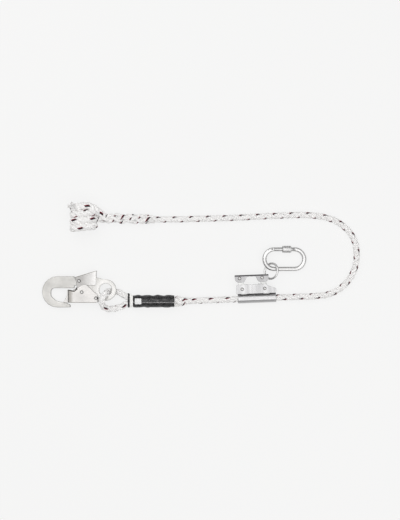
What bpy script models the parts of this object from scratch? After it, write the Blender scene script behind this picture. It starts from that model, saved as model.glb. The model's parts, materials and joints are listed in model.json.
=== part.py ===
"""Work positioning lanyard for tree climbing: a 16 mm three-strand rope with a
double-action snap hook spliced to one end, a stop knot at the other, and a cam
adjuster on the rope that carries a ring and an oval screw-gate carabiner.

The lanyard lies flat on the floor, z = 0. X runs from the hook to the rope's
bend, Y across, and the origin is under the middle of the metal and the splice.
"""
import math

import bmesh
import bpy
from mathutils import Matrix, Vector
from mathutils.geometry import interpolate_bezier

# Clearances, in metres like every length here
CLEARANCE = 0.0003  # between pieces that touch
OVERRUN = 0.003  # how far a cutter runs past what it cuts
CUTTER_REACH = 0.160  # of a cutter that runs past the whole hook
WELD_DISTANCE = 0.000001

# Rope
ROPE_DIAMETER = 0.016
RUN_TILT = math.radians(2.2)  # of the straight run that the adjuster rides on
RUN_STATIONS = (-0.1625, -0.120, -0.075, -0.030, 0.015, 0.060, 0.100, 0.140)
FREE_ROUTE = [
    (0.3810, -0.0350, 0.0086), (0.4140, -0.0134, 0.0081), (0.4360, 0.0194, 0.0081),
    (0.4430, 0.0583, 0.0081), (0.4358, 0.0972, 0.0081), (0.4120, 0.1275, 0.0081),
    (0.3774, 0.1468, 0.0081), (0.3300, 0.1548, 0.0081), (0.2814, 0.1548, 0.0081),
    (0.2134, 0.1521, 0.0081), (0.1405, 0.1485, 0.0081), (0.0846, 0.1470, 0.0081),
    (0.0141, 0.1451, 0.0081), (-0.0418, 0.1446, 0.0081),
]
ROPE_POINT_SPACING = 0.034

# Rope eye, relative to the middle of the hook's eye in X and Y, floor in Z
EYE_ROUTE = [
    (0.0512, -0.0166, 0.0098), (0.0440, -0.0125, 0.0090), (0.0358, -0.0076, 0.0085),
    (0.0250, -0.0042, 0.0083), (0.0150, -0.0030, 0.0084), (0.0074, -0.0032, 0.0120),
    (0.0030, -0.0050, 0.0205), (-0.0012, -0.0092, 0.0300), (-0.0062, -0.0174, 0.0346),
    (-0.0090, -0.0270, 0.0340), (-0.0080, -0.0362, 0.0287), (-0.0025, -0.0428, 0.0210),
    (0.0070, -0.0460, 0.0137), (0.0190, -0.0458, 0.0094), (0.0320, -0.0424, 0.0084),
    (0.0420, -0.0382, 0.0089), (0.0512, -0.0338, 0.0098),
]
EYE_POINT_SPACING = 0.006
EYE_END_STRAIGHT = 0.0018  # square ends against the splice

# Eye splice and its sleeve, along X from the crotch of the eye
SPLICE_START = (-0.1123, -0.0516)
SPLICE_HEIGHT = 0.0159
SPLICE_RADIUS = 0.0137
SPLICE_BULGE = 0.0006
SPLICE_BULGE_PITCH = 0.0243
SPLICE_SHIFT = 0.0022  # towards -Y, off the crotch's middle
CROTCH_HALF_WIDTH = 0.0162
CROTCH_HALF_HEIGHT = 0.0082
CROTCH_HEIGHT = 0.0100
COLLAR_LENGTH = 0.0047
COLLAR_WALL = 0.0012
TAPE_LENGTH = 0.0082
TAPE_WALL = 0.0006
SLEEVE_LENGTH = 0.0999
SLEEVE_WALL = 0.0011
TAIL_RADIUS = 0.0152
TAIL_LENGTH = 0.0378
TAIL_FLARE_SHARE = 0.20  # of the tail, where it swells out of the sleeve
TAIL_FULL_SHARE = 0.25  # of the tail, before it tapers to the rope
LABEL_LENGTH = 0.0155
LABEL_WIDTH = 0.0141
LABEL_THICKNESS = 0.0005
LABEL_OFFSET = 0.0046
LABEL_COLUMNS = 6
LABEL_RANKS = 4
SPLICE_STATION_SPACING = 0.0050

# Back splice and stop knot at the free end
BACK_SPLICE_LENGTH = 0.155
BACK_SPLICE_TAPER = 0.022
BACK_SPLICE_RADIUS = 0.0132
BACK_SPLICE_BULGE = 0.0009
BACK_SPLICE_BULGE_PITCH = 0.030
BACK_SPLICE_HEIGHT = 0.0146
BACK_SPLICE_HEADING = math.radians(178.5)
BACK_SPLICE_STEPS = 22
KNOT_LENGTH = 0.073
KNOT_WIDTH = 0.070
KNOT_HEIGHT = 0.058
KNOT_LOBE = 0.0022
KNOT_LOBES = 5
KNOT_TWIST = 3.0  # how far the lobes wind from the middle to either end, in radians
KNOT_SEGMENTS = 30
KNOT_RINGS = 16
KNOT_SOCKET_DEPTH = 0.0118
KNOT_FLAT = 0.0025  # how far the knot's underside is pressed flat

# Domed rivet head, in shares of its radius and height
DOME_SHARES = ((0, 1.0), (0.50, 0.90), (0.85, 0.55))
FOOT_SHARE = 0.95

# Snap hook: a flat forging with its eye at the frame's origin, throat to -X
HOOK_EYE_PLACE = (-0.1657, -0.0265)
HOOK_TILT = math.radians(5.6)  # eye raised by the rope leg that passes under it
HOOK_LENGTH = 0.1552  # from the eye's middle
HOOK_THICKNESS = 0.0095
HOOK_EDGE = 0.0018
EYE_HOLE_RADIUS = 0.0158
HOOK_OUTLINE = [
    (0.0260, -0.0260, 0.0259), (0.0260, 0.0260, 0.0259), (-0.0060, 0.0260, 0.0100),
    (-0.0220, 0.0305, 0.0100), (-0.0600, 0.0310, 0.0200), (-0.0765, 0.0287, 0.0010),
    (-0.0765, 0.0335, 0.0020), (-0.1552, 0.0335, 0.0375), (-0.1552, -0.0428, 0.0375),
    (-0.0845, -0.0420, 0.0025), (-0.0870, -0.0355, 0.0020), (-0.0970, -0.0310, 0.0040),
    (-0.1050, -0.0295, 0.0080), (-0.1210, -0.0265, 0.0100), (-0.1335, -0.0150, 0.0090),
    (-0.1335, 0.0046, 0.0090), (-0.0765, 0.0046, 0.0010), (-0.0765, 0.0110, 0.0030),
    (-0.0655, 0.0110, 0.0030), (-0.0655, -0.0120, 0.0030), (-0.0380, -0.0215, 0.0100),
    (-0.0300, -0.0260, 0.0060), (-0.0175, -0.0258, 0), (-0.0089, -0.0246, 0),
    (-0.0020, -0.0260, 0),
]

# Snap hook: gate and lock lever, pressed from sheet
SHEET = 0.0016
RIVET_RADIUS = 0.0025
RIVET_HEAD_RADIUS = 0.0042
RIVET_HEAD_HEIGHT = 0.0014
GATE_PIVOT = (-0.0226, -0.0197)
GATE_OPENING = math.radians(16.0)
GUIDE_PLACE = (-0.0573, -0.0051)
GUIDE_SLOT_HALF_WIDTH = 0.0031
LEVER_PIVOT = (-0.0642, 0.0221)
GATE_OUTLINE = [
    (-0.1033, -0.0306, 0.0010), (-0.0185, -0.0306, 0.0030), (-0.0185, -0.0124, 0.0030),
    (-0.0469, 0.0131, 0.0050), (-0.0578, 0.0117, 0.0050), (-0.0673, 0.0046, 0.0030),
    (-0.0758, -0.0024, 0.0060), (-0.0928, 0.0010, 0.0010), (-0.0943, -0.0148, 0.0100),
]
GATE_HALF_WIDTH = 0.0086
GATE_NECK_HALF_WIDTH = 0.0069
GATE_STEP = (-0.0885, -0.0915)  # where the gate narrows towards its front
GATE_FLOOR = -0.0306
GATE_FLOOR_FRONT = -0.0980
LEVER_OUTLINE = [
    (-0.0214, 0.0471, 0.0010), (-0.0744, 0.0313, 0.0010), (-0.0695, 0.0120, 0.0100),
    (-0.0700, 0.0058, 0.0045), (-0.0780, 0.0012, 0.0010), (-0.0780, -0.0042, 0.0010),
    (-0.0735, -0.0042, 0.0010), (-0.0650, 0.0030, 0.0030), (-0.0600, 0.0100, 0.0040),
    (-0.0520, 0.0115, 0.0040), (-0.0230, 0.0115, 0.0040), (-0.0230, 0.0380, 0.0100),
]
LEVER_HALF_WIDTH = 0.00665
LEVER_TAB = ((-0.0744, 0.0313), (-0.0214, 0.0471))  # ends of the thumb tab's top
LUG_OUTLINE = [
    (-0.0780, -0.0042, 0.0010), (-0.0735, -0.0042, 0.0010), (-0.0735, 0.0012, 0.0010),
    (-0.0780, 0.0012, 0.0010),
]
LUG_HALF_WIDTH = 0.0055
HOOK_SPRING_WIRE = 0.0010
HOOK_SPRING_RADIUS = 0.0038
HOOK_SPRING_TURNS = 2.5
HOOK_SPRING_PITCH = 0.0015
SPRING_POCKET_RADIUS = 0.0049
SPRING_POCKET_FLOOR = -0.0006

# Adjuster: frame on the rope's axis, X along the rope, +Y towards the pull bar
ADJUSTER_PLACE = (0.2012, -0.0468)
ADJUSTER_SHEET = 0.0020
CHANNEL_CLEARANCE = 0.0006
CHANNEL_HALF_LENGTH = 0.0461
CHANNEL_LIP_ANGLE = math.radians(56.0)
PLATE_INSIDE = 0.0070  # from the mid-plane to either plate
PLATE_OUTLINE = [
    (-0.0490, 0.0120, 0.0010), (0.0467, 0.0120, 0.0010), (0.0467, 0.0232, 0.0030),
    (0.0270, 0.0310, 0.0080), (0.0220, 0.0345, 0.0030), (-0.0460, 0.0345, 0.0010),
    (-0.0490, 0.0315, 0.0010),
]
CAM_PIN_HEIGHT = 0.0235
REAR_CAM_X = -0.0353
FRONT_CAM_X = 0.0194
CAM_HALF_THICKNESS = 0.00425
CAM_RADIUS = 0.0141
CAM_RISE = 0.0034  # more radius for each radian round the cam
CAM_TOOTH = 0.0005
CAM_FACE = (math.radians(-150), math.radians(-25))
CAM_FACE_STEPS = 20
HUB_RADIUS = 0.0060
HUB_HALF_THICKNESS = 0.0067
ARM_HALF_WIDTH = 0.0068
ARM_ROOT_HALF_WIDTH = 0.0082
LINK_LENGTH = 0.0270
LINK_LEAN = math.radians(11.5)
LINK_END_RADIUS = 0.0050
LINK_HUB_HALF_THICKNESS = 0.0074
BAR_INSIDE = 0.0077
BAR_SHEET = 0.0015
BAR_FLANGE = 0.0024
BAR_OUTLINE = [
    (0.0295, 0.0578, 0.0015), (-0.0527, 0.0578, 0.0015), (-0.0515, 0.0395, 0.0103),
    (-0.0305, 0.0395, 0.0090), (-0.0215, 0.0534, 0.0020), (-0.0010, 0.0534, 0.0020),
    (0.0045, 0.0395, 0.0090), (0.0225, 0.0395, 0.0090), (0.0295, 0.0440, 0.0060),
]
RING_SLOT = (0.0180, 0.0264)
ADJUSTER_HEAD_HEIGHT = 0.0009
ADJUSTER_HEAD_RADIUS = 0.0040
CAM_SPRING_WIRE = 0.0010
CAM_SPRING_RADIUS = 0.0070
CAM_SPRING_TURNS = 0.85
CAM_SPRING_PITCH = 0.0010
CAM_SPRING_START = math.radians(-115)
CAM_SPRING_LEG = (-0.0141, 0.0131)  # end of the leg, from the front cam's pin

# Ring between the pull bar and the carabiner, in the adjuster's frame
RING_RADIUS = 0.0188
RING_WIRE = 0.0050
RING_CENTRE = (0.0366, 0.0648, 0.0046)
RING_LEAN = math.radians(72.1)
RING_INCLINE = math.radians(37.0)
RING_SEAT = (0.0226, 0.0565)

# Carabiner: an oval, its gate on the +Y side
CARABINER_TILT = math.radians(6.0)
RING_SIDE = math.radians(-104.1)  # of the bend, where the bar goes through the ring
PLAY_SHARE = 0.556  # of the ring's room beside the bar, on the bar's outer side
PLACE_DIGITS = 4  # the oval is laid to a tenth of a millimetre
CARABINER_HALF_LENGTH = 0.0487  # of the bar's middle line
CARABINER_HALF_WIDTH = 0.0238
BAR_RADIUS = 0.00525
BEND_START = math.radians(84)  # where the bend takes over from the gate's side
GATE_HINGE_X = -0.0295
KNUCKLE_RADIUS = 0.0052
GATE_TIP_X = 0.0218
GATE_BAR_RADIUS = 0.0047
TONGUE_HALF_THICKNESS = 0.0022
BLADE_OUTLINE = [
    (0.0176, 0.0204, 0.0005), (0.0184, 0.0204, 0), (0.0184, 0.0254, 0.0010),
    (0.0216, 0.0254, 0.0010), (0.0216, 0.0204, 0), (0.0236, 0.0204, 0),
    (0.0236, 0.0272, 0), (0.0176, 0.0272, 0.0010),
]
BLADE_HALF_THICKNESS = 0.0013
FORK_SLOT_X = 0.0168
LATCH_PIN_X = 0.0200
HINGE_PIN_RADIUS = 0.0013
LATCH_PIN_RADIUS = 0.0010
NOSE_X = 0.0224
NOSE_RADIUS = 0.0046
BODY_START_X = 0.0266
SLEEVE_REST_X = -0.0049
SCREW_SLEEVE_LENGTH = 0.0214
SCREW_SLEEVE_RADIUS = 0.0082
SCREW_SLEEVE_BORE = 0.00515
SLEEVE_CHAMFER = 0.0008
HINGE_POCKET_RADIUS = 0.0036
HINGE_POCKET_FLOOR = -0.0008
GATE_SPRING_WIRE = 0.0007
GATE_SPRING_RADIUS = 0.0026
GATE_SPRING_TURNS = 1.5
GATE_SPRING_PITCH = 0.0012

# Smoothness
ARC_STEP = math.radians(18.0)
FINE_ARC_STEP = math.radians(4.5)
SHARP_ANGLE = math.radians(35)
BEVEL_ANGLE = math.radians(50)
ROUND_SIDES = 24
PIN_SIDES = 12
LOFT_SIDES = 20
RING_SIDES = 36
ROPE_RESOLUTION = 4
BAR_RESOLUTION = 4
RING_RESOLUTION = 3
WIRE_RESOLUTION = 1
COIL_STEPS = 10  # to a turn
ROUTE_STEPS = 24  # between two points of a route
HANDLE_SHARE = 1 / 6  # of the chord past a route's point, for a curve through it
MILLIMETRES = 1000

# Each finish: colour, roughness and metallic value
FINISHES = {
    "rope_white": ((0.86, 0.86, 0.83), 0.75, 0.0),
    "sleeve_black": ((0.015, 0.015, 0.017), 0.25, 0.0),
    "tape_white": ((0.82, 0.82, 0.80), 0.50, 0.0),
    "zinc_forging": ((0.56, 0.56, 0.54), 0.45, 1.0),
    "zinc_bright": ((0.78, 0.78, 0.76), 0.30, 1.0),
    "zinc_lever": ((0.50, 0.50, 0.49), 0.35, 1.0),
    "adjuster_plate": ((0.78, 0.78, 0.76), 0.25, 1.0),
    "cam_steel": ((0.38, 0.38, 0.38), 0.40, 1.0),
    "stainless": ((0.62, 0.61, 0.60), 0.30, 1.0),
    "spring_steel": ((0.45, 0.45, 0.46), 0.35, 1.0),
}

FACE_ON = Matrix.Identity(4)  # outline in X and Y, thickness along Z
ALONG_X = Matrix(((0, 0, 1, 0), (1, 0, 0, 0), (0, 1, 0, 0), (0, 0, 0, 1)))  # (y, z)
ALONG_Y = Matrix(((0, 1, 0, 0), (0, 0, 1, 0), (1, 0, 0, 0), (0, 0, 0, 1)))  # (z, x)

collections = {}
materials = {}


def clear_scene():
    for obj in list(bpy.data.objects):
        bpy.data.objects.remove(obj, do_unlink=True)


def make_collections():
    for key, name in (("parts", "climbing_lanyard"), ("cutters", "cutters")):
        collections[key] = bpy.data.collections.new(name)
        bpy.context.scene.collection.children.link(collections[key])


def material(name):
    if name not in materials:
        colour, roughness, metallic = FINISHES[name]
        made = bpy.data.materials.new(name)
        made.use_nodes = True
        shader = made.node_tree.nodes["Principled BSDF"]
        shader.inputs["Base Color"].default_value = (*colour, 1.0)
        shader.inputs["Roughness"].default_value = roughness
        shader.inputs["Metallic"].default_value = metallic
        materials[name] = made
    return materials[name]


def empty(name, parent=None, place=(0, 0, 0), turn=(0, 0, 0)):
    frame = bpy.data.objects.new(name, None)
    collections["parts"].objects.link(frame)
    frame.parent = parent
    frame.location = place
    frame.rotation_euler = turn
    return frame


def add_object(name, data, parent=None, finish=None):
    """A part if it has a finish, otherwise a hidden cutter."""
    obj = bpy.data.objects.new(name, data)
    obj.parent = parent
    if finish is None:
        collections["cutters"].objects.link(obj)
        obj.hide_render = True
        obj.display_type = "WIRE"
    else:
        collections["parts"].objects.link(obj)
        data.materials.append(finish)
    return obj


def shade(mesh):
    mesh.shade_smooth()
    mesh.set_sharp_from_angle(angle=SHARP_ANGLE)


def mesh_of(curve, name, turn=FACE_ON):
    """The closed mesh of a curve datablock, turned into place."""
    holder = bpy.data.objects.new(name, curve)
    bpy.context.scene.collection.objects.link(holder)
    graph = bpy.context.evaluated_depsgraph_get()
    mesh = bpy.data.meshes.new_from_object(holder.evaluated_get(graph))
    bpy.data.objects.remove(holder, do_unlink=True)
    mesh.transform(turn)
    bm = bmesh.new()
    bm.from_mesh(mesh)
    bmesh.ops.remove_doubles(bm, verts=bm.verts, dist=WELD_DISTANCE)
    bmesh.ops.recalc_face_normals(bm, faces=bm.faces)
    bm.to_mesh(mesh)
    bm.free()
    mesh.name = name
    shade(mesh)
    return mesh


def rounded(corners):
    """Points of a closed outline from (x, y, radius) corners."""
    points = []
    count = len(corners)
    for i, (x, y, radius) in enumerate(corners):
        here = Vector((x, y))
        before = (Vector(corners[i - 1][:2]) - here).normalized()
        after = (Vector(corners[(i + 1) % count][:2]) - here).normalized()
        half = before.angle(after) / 2
        if radius == 0:
            points.append((x, y))
            continue
        centre = here + (before + after).normalized() * (radius / math.sin(half))
        start = here + before * (radius / math.tan(half)) - centre
        end = here + after * (radius / math.tan(half)) - centre
        sweep = start.angle_signed(end)
        steps = max(1, round(abs(sweep) / ARC_STEP))
        for k in range(steps + 1):
            angle = -sweep * k / steps
            points.append((
                centre.x + start.x * math.cos(angle) - start.y * math.sin(angle),
                centre.y + start.x * math.sin(angle) + start.y * math.cos(angle),
            ))
    return points


def circle(x, y, radius, sides=ROUND_SIDES):
    turns = [2 * math.pi * k / sides for k in range(sides)]
    return [(x + radius * math.cos(a), y + radius * math.sin(a)) for a in turns]


def arc(x, y, radius, start, end, step=ARC_STEP):
    steps = max(1, round(abs(end - start) / step))
    turns = [start + (end - start) * k / steps for k in range(steps + 1)]
    return [(x + radius * math.cos(a), y + radius * math.sin(a)) for a in turns]


def prism(name, loops, low, high, turn=FACE_ON):
    """A flat outline, with any holes, filled and thickened from low to high."""
    curve = bpy.data.curves.new(name, "CURVE")
    curve.dimensions = "2D"
    curve.fill_mode = "BOTH"
    curve.extrude = (high - low) / 2
    for loop in loops:
        spline = curve.splines.new("POLY")
        spline.points.add(len(loop) - 1)
        spline.use_cyclic_u = True
        for point, (x, y) in zip(spline.points, loop):
            point.co = (x, y, 0, 1)
    lift = Matrix.Translation((0, 0, (high + low) / 2))
    return mesh_of(curve, name, turn @ lift)


def drum(name, x, y, radius, low, high, sides=PIN_SIDES, turn=FACE_ON):
    """A cylinder along the thickness direction."""
    bm = bmesh.new()
    place = turn @ Matrix.Translation((x, y, (low + high) / 2))
    bmesh.ops.create_cone(
        bm, cap_ends=True, segments=sides, radius1=radius, radius2=radius,
        depth=high - low, matrix=place,
    )
    mesh = bpy.data.meshes.new(name)
    bm.to_mesh(mesh)
    bm.free()
    shade(mesh)
    return mesh


def turned(name, profile, sides, parent, finish, place=(0, 0, 0), turn=(0, 0, 0)):
    """A profile of (radius, height), top to bottom, turned about Z."""
    mesh = bpy.data.meshes.new(name)
    points = [(radius, 0, height) for radius, height in profile]
    mesh.from_pydata(points, [(i, i + 1) for i in range(len(points) - 1)], [])
    obj = add_object(name, mesh, parent, finish)
    obj.location = place
    obj.rotation_euler = turn
    screw = obj.modifiers.new("turn", "SCREW")
    screw.steps = sides
    screw.render_steps = sides
    screw.use_merge_vertices = True
    screw.merge_threshold = WELD_DISTANCE
    return obj


def tube(name, points, radius, resolution, parent, finish, closed=False):
    curve = bpy.data.curves.new(name, "CURVE")
    curve.dimensions = "3D"
    curve.bevel_depth = radius
    curve.bevel_resolution = resolution
    curve.use_fill_caps = not closed
    spline = curve.splines.new("POLY")
    spline.points.add(len(points) - 1)
    spline.use_cyclic_u = closed
    for point, place in zip(spline.points, points):
        point.co = (*place, 1)
    return add_object(name, mesh_of(curve, name), parent, finish)


def loft(name, rings, parent, finish, wall=None):
    """A skin through rings of points: capped, or an open shell with a wall."""
    bm = bmesh.new()
    rows = [[bm.verts.new(point) for point in ring] for ring in rings]
    for low, high in zip(rows, rows[1:]):
        for k in range(len(low)):
            n = (k + 1) % len(low)
            bm.faces.new((low[k], low[n], high[n], high[k]))
    if wall is None:
        bm.faces.new(rows[0][::-1])
        bm.faces.new(rows[-1])
        bmesh.ops.recalc_face_normals(bm, faces=bm.faces)
    mesh = bpy.data.meshes.new(name)
    bm.to_mesh(mesh)
    bm.free()
    shade(mesh)
    obj = add_object(name, mesh, parent, finish)
    if wall is not None:
        shell = obj.modifiers.new("wall", "SOLIDIFY")
        shell.thickness = wall
        shell.offset = 1.0
    return obj


def combine(target, mesh, operation="DIFFERENCE"):
    """Cut target by a mesh, join the mesh to it, or keep what they share."""
    cutter = add_object(f"{mesh.name}_{operation.lower()}", mesh, target.parent)
    boolean = target.modifiers.new(mesh.name, "BOOLEAN")
    boolean.operation = operation
    boolean.object = cutter
    return cutter


def soften(obj, width):
    bevel = obj.modifiers.new("edge", "BEVEL")
    bevel.width = width
    bevel.segments = 1
    bevel.limit_method = "ANGLE"
    bevel.angle_limit = BEVEL_ANGLE


def smooth_route(points, spacing):
    """Even points on a smooth curve through the route's own points."""
    knots = [Vector(p) for p in points]
    knots = [2 * knots[0] - knots[1], *knots, 2 * knots[-1] - knots[-2]]
    fine = []
    for before, start, end, after in zip(knots, knots[1:], knots[2:], knots[3:]):
        leaving = start + (end - before) * HANDLE_SHARE
        arriving = end - (after - start) * HANDLE_SHARE
        fine += interpolate_bezier(start, leaving, arriving, end, ROUTE_STEPS + 1)[:-1]
    fine.append(knots[-2])
    lengths = [0.0]
    for a, b in zip(fine, fine[1:]):
        lengths.append(lengths[-1] + (b - a).length)
    count = round(lengths[-1] / spacing)
    even, i = [], 0
    for k in range(count + 1):
        goal = lengths[-1] * k / count
        while i < len(fine) - 2 and lengths[i + 1] < goal:
            i += 1
        share = (goal - lengths[i]) / (lengths[i + 1] - lengths[i])
        even.append(fine[i].lerp(fine[i + 1], share))
    return even


def coil(radius, pitch, turns, start=0.0):
    """Points of a helix about Z."""
    count = round(COIL_STEPS * turns)
    return [
        (radius * math.cos(a), radius * math.sin(a), pitch * (a - start) / (2 * math.pi))
        for a in (start + 2 * math.pi * k / COIL_STEPS for k in range(count + 1))
    ]


def print_coil_gap(name, points, wire):
    """Least clear gap between turns that are not neighbours on the wire."""
    places = [Vector(p) for p in points]
    apart = COIL_STEPS - 2
    gaps = [
        (a - b).length - wire
        for i, a in enumerate(places) for b in places[i + apart:]
    ]
    if gaps:
        print(f"{name}: least gap to itself {min(gaps) * MILLIMETRES:.2f} mm")


def oval(x, y, z, half_width, half_height):
    """A ring of points across X."""
    turns = [2 * math.pi * k / LOFT_SIDES for k in range(LOFT_SIDES)]
    return [
        (x, y + half_width * math.cos(a), z + half_height * math.sin(a)) for a in turns
    ]


def blend(a, b, share):
    return a + (b - a) * min(max(share, 0.0), 1.0)


def ease(share):
    share = min(max(share, 0.0), 1.0)
    return share * share * (3 - 2 * share)


# Rope, splices and knot


def run_point(station):
    """A place on the straight run that the adjuster rides on."""
    x, y = ADJUSTER_PLACE
    return (
        x + station * math.cos(RUN_TILT), y + station * math.sin(RUN_TILT), run_height()
    )


def run_height():
    """The adjuster's channel lies on the floor and holds the rope this high."""
    return ROPE_DIAMETER / 2 + CHANNEL_CLEARANCE + ADJUSTER_SHEET


def make_rope():
    finish = material("rope_white")
    route = [run_point(s) for s in RUN_STATIONS] + FREE_ROUTE
    points = smooth_route(route, ROPE_POINT_SPACING)
    tube("rope", points, ROPE_DIAMETER / 2, ROPE_RESOLUTION, None, finish)
    eye_x, eye_y = HOOK_EYE_PLACE
    eye = [(eye_x + x, eye_y + y, z) for x, y, z in EYE_ROUTE]
    points = smooth_route(eye, EYE_POINT_SPACING)
    square = Vector((EYE_END_STRAIGHT, 0, 0))
    points = [points[0] + square, *points, points[-1] + square]
    tube("rope_eye", points, ROPE_DIAMETER / 2, ROPE_RESOLUTION, None, finish)


def splice_section(along):
    """Middle and half sizes of the splice at a distance from the crotch."""
    x, y = SPLICE_START
    tail_y = run_point(RUN_STATIONS[0])[1]
    swell = COLLAR_LENGTH + TAPE_LENGTH
    gathered = ease(along / swell)
    wave = SPLICE_BULGE * math.cos(2 * math.pi * along / SPLICE_BULGE_PITCH)
    radius = SPLICE_RADIUS + wave * gathered
    width = blend(CROTCH_HALF_WIDTH, radius, gathered)
    height = blend(CROTCH_HALF_HEIGHT, radius, gathered)
    z = blend(CROTCH_HEIGHT, SPLICE_HEIGHT, gathered)
    middle_y = y - SPLICE_SHIFT * gathered
    tail = along - swell - SLEEVE_LENGTH
    if tail > 0:
        taper_start = TAIL_LENGTH * TAIL_FULL_SHARE
        opened = ease(tail / (TAIL_LENGTH * TAIL_FLARE_SHARE))
        closed = ease((tail - taper_start) / (TAIL_LENGTH - taper_start))
        width = blend(blend(radius, TAIL_RADIUS, opened), ROPE_DIAMETER / 2, closed)
        height = width
        z = blend(SPLICE_HEIGHT, run_height(), closed)
        middle_y = blend(middle_y, tail_y, closed)
    return x + along, middle_y, z, width, height


def spaced(start, end):
    """Even distances along the splice, both ends included."""
    count = max(2, round((end - start) / SPLICE_STATION_SPACING))
    return [start + (end - start) * k / count for k in range(count + 1)]


def splice_rings(stations, grow):
    """Rings round the splice at some distances, larger than it by grow."""
    rings = []
    for station in stations:
        x, y, z, width, height = splice_section(station)
        rings.append(oval(x, y, z, width + grow, height + grow))
    return rings


def make_splice():
    rope = material("rope_white")
    black = material("sleeve_black")
    white = material("tape_white")
    gap = CLEARANCE
    tape_start = COLLAR_LENGTH
    sleeve_start = COLLAR_LENGTH + TAPE_LENGTH
    sleeve_end = sleeve_start + SLEEVE_LENGTH
    collar = spaced(0, tape_start - gap)
    tape = spaced(tape_start, sleeve_start - gap)
    sleeve = spaced(sleeve_start, sleeve_end)
    tail = spaced(sleeve_end, sleeve_end + TAIL_LENGTH - gap)
    core = splice_rings(collar + tape + sleeve + tail[1:], 0)
    loft("eye_splice", core, None, rope)
    loft("sleeve_collar", splice_rings(collar, gap), None, black, COLLAR_WALL)
    loft("whipping_tape", splice_rings(tape, gap), None, white, TAPE_WALL)
    loft("splice_sleeve", splice_rings(sleeve, gap), None, black, SLEEVE_WALL)
    make_label(sleeve_start + LABEL_OFFSET, white)


def make_label(start, finish):
    """A bare label curved over the top of the sleeve."""
    grow = 2 * CLEARANCE + SLEEVE_WALL
    bm = bmesh.new()
    rows = []
    for i in range(LABEL_RANKS + 1):
        along = start + LABEL_LENGTH * i / LABEL_RANKS
        x, y, z, width, height = splice_section(along)
        reach = LABEL_WIDTH / 2 / (width + grow)
        shares = [k / LABEL_COLUMNS for k in range(LABEL_COLUMNS + 1)]
        rows.append([
            bm.verts.new((
                x, y + (width + grow) * math.cos(a), z + (height + grow) * math.sin(a)
            ))
            for a in (math.pi / 2 + reach * (1 - 2 * share) for share in shares)
        ])
    for low, high in zip(rows, rows[1:]):
        for k in range(LABEL_COLUMNS):
            bm.faces.new((low[k], high[k], high[k + 1], low[k + 1]))
    mesh = bpy.data.meshes.new("splice_label")
    bmesh.ops.recalc_face_normals(bm, faces=bm.faces)
    bm.normal_update()
    if sum(face.normal.z for face in bm.faces) < 0:
        bmesh.ops.reverse_faces(bm, faces=bm.faces)
    bm.to_mesh(mesh)
    bm.free()
    label = add_object("splice_label", mesh, None, finish)
    shell = label.modifiers.new("thickness", "SOLIDIFY")
    shell.thickness = LABEL_THICKNESS
    shell.offset = 1.0


def make_back_splice():
    """The thick tail tucked back into the rope, from the rope to the knot."""
    finish = material("rope_white")
    end = FREE_ROUTE[-1]
    frame = empty("back_splice_frame", None, (end[0], end[1], 0),
                  (0, 0, BACK_SPLICE_HEADING))
    rings = []
    for k in range(BACK_SPLICE_STEPS + 1):
        along = blend(CLEARANCE, BACK_SPLICE_LENGTH, k / BACK_SPLICE_STEPS)
        grown = ease(along / BACK_SPLICE_TAPER)
        wave = BACK_SPLICE_BULGE * math.cos(2 * math.pi * along / BACK_SPLICE_BULGE_PITCH)
        radius = blend(ROPE_DIAMETER / 2, BACK_SPLICE_RADIUS + wave, grown)
        z = blend(end[2], BACK_SPLICE_HEIGHT, grown)
        rings.append(oval(along, 0, z, radius, radius))
    loft("back_splice", rings, frame, finish)
    make_knot(frame, finish)


def make_knot(frame, finish):
    """The stop knot: a lobed ball, pressed flat below, round the splice's end."""
    bm = bmesh.new()
    bmesh.ops.create_uvsphere(bm, u_segments=KNOT_SEGMENTS, v_segments=KNOT_RINGS, radius=1)
    middle = Vector((
        BACK_SPLICE_LENGTH - KNOT_SOCKET_DEPTH + KNOT_LENGTH / 2, 0,
        KNOT_HEIGHT / 2 - KNOT_FLAT,
    ))
    for vert in bm.verts:
        x, y, z = vert.co
        around = math.atan2(z, y)
        twist = KNOT_LOBES * around + KNOT_TWIST * x
        lobe = KNOT_LOBE * math.cos(twist) * (1 - x * x)
        vert.co = Vector((
            x * KNOT_LENGTH / 2, y * (KNOT_WIDTH / 2 - KNOT_LOBE + lobe),
            z * (KNOT_HEIGHT / 2 - KNOT_LOBE + lobe),
        )) + middle
    mesh = bpy.data.meshes.new("stop_knot")
    bm.to_mesh(mesh)
    bm.free()
    shade(mesh)
    knot = add_object("stop_knot", mesh, frame, finish)
    socket = drum(
        "knot_socket", 0, BACK_SPLICE_HEIGHT,
        BACK_SPLICE_RADIUS + BACK_SPLICE_BULGE + 2 * CLEARANCE,
        BACK_SPLICE_LENGTH - KNOT_LENGTH / 2, BACK_SPLICE_LENGTH + CLEARANCE,
        LOFT_SIDES, ALONG_X,
    )
    combine(knot, socket)
    floor = prism(
        "knot_floor",
        [[(-KNOT_WIDTH, -KNOT_HEIGHT), (KNOT_WIDTH, -KNOT_HEIGHT),
          (KNOT_WIDTH, 0), (-KNOT_WIDTH, 0)]],
        0, BACK_SPLICE_LENGTH + KNOT_LENGTH * 2, ALONG_X,
    )
    combine(knot, floor)


# Snap hook


def hook_lift():
    """Height of the eye's middle, so that the bow's end lies on the floor."""
    return (
        HOOK_LENGTH * math.sin(HOOK_TILT) + HOOK_THICKNESS / 2 * math.cos(HOOK_TILT)
    )


def moved(outline, pivot):
    """An outline of rounded corners, relative to a pivot."""
    return rounded([(x - pivot[0], y - pivot[1], r) for x, y, r in outline])


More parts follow.
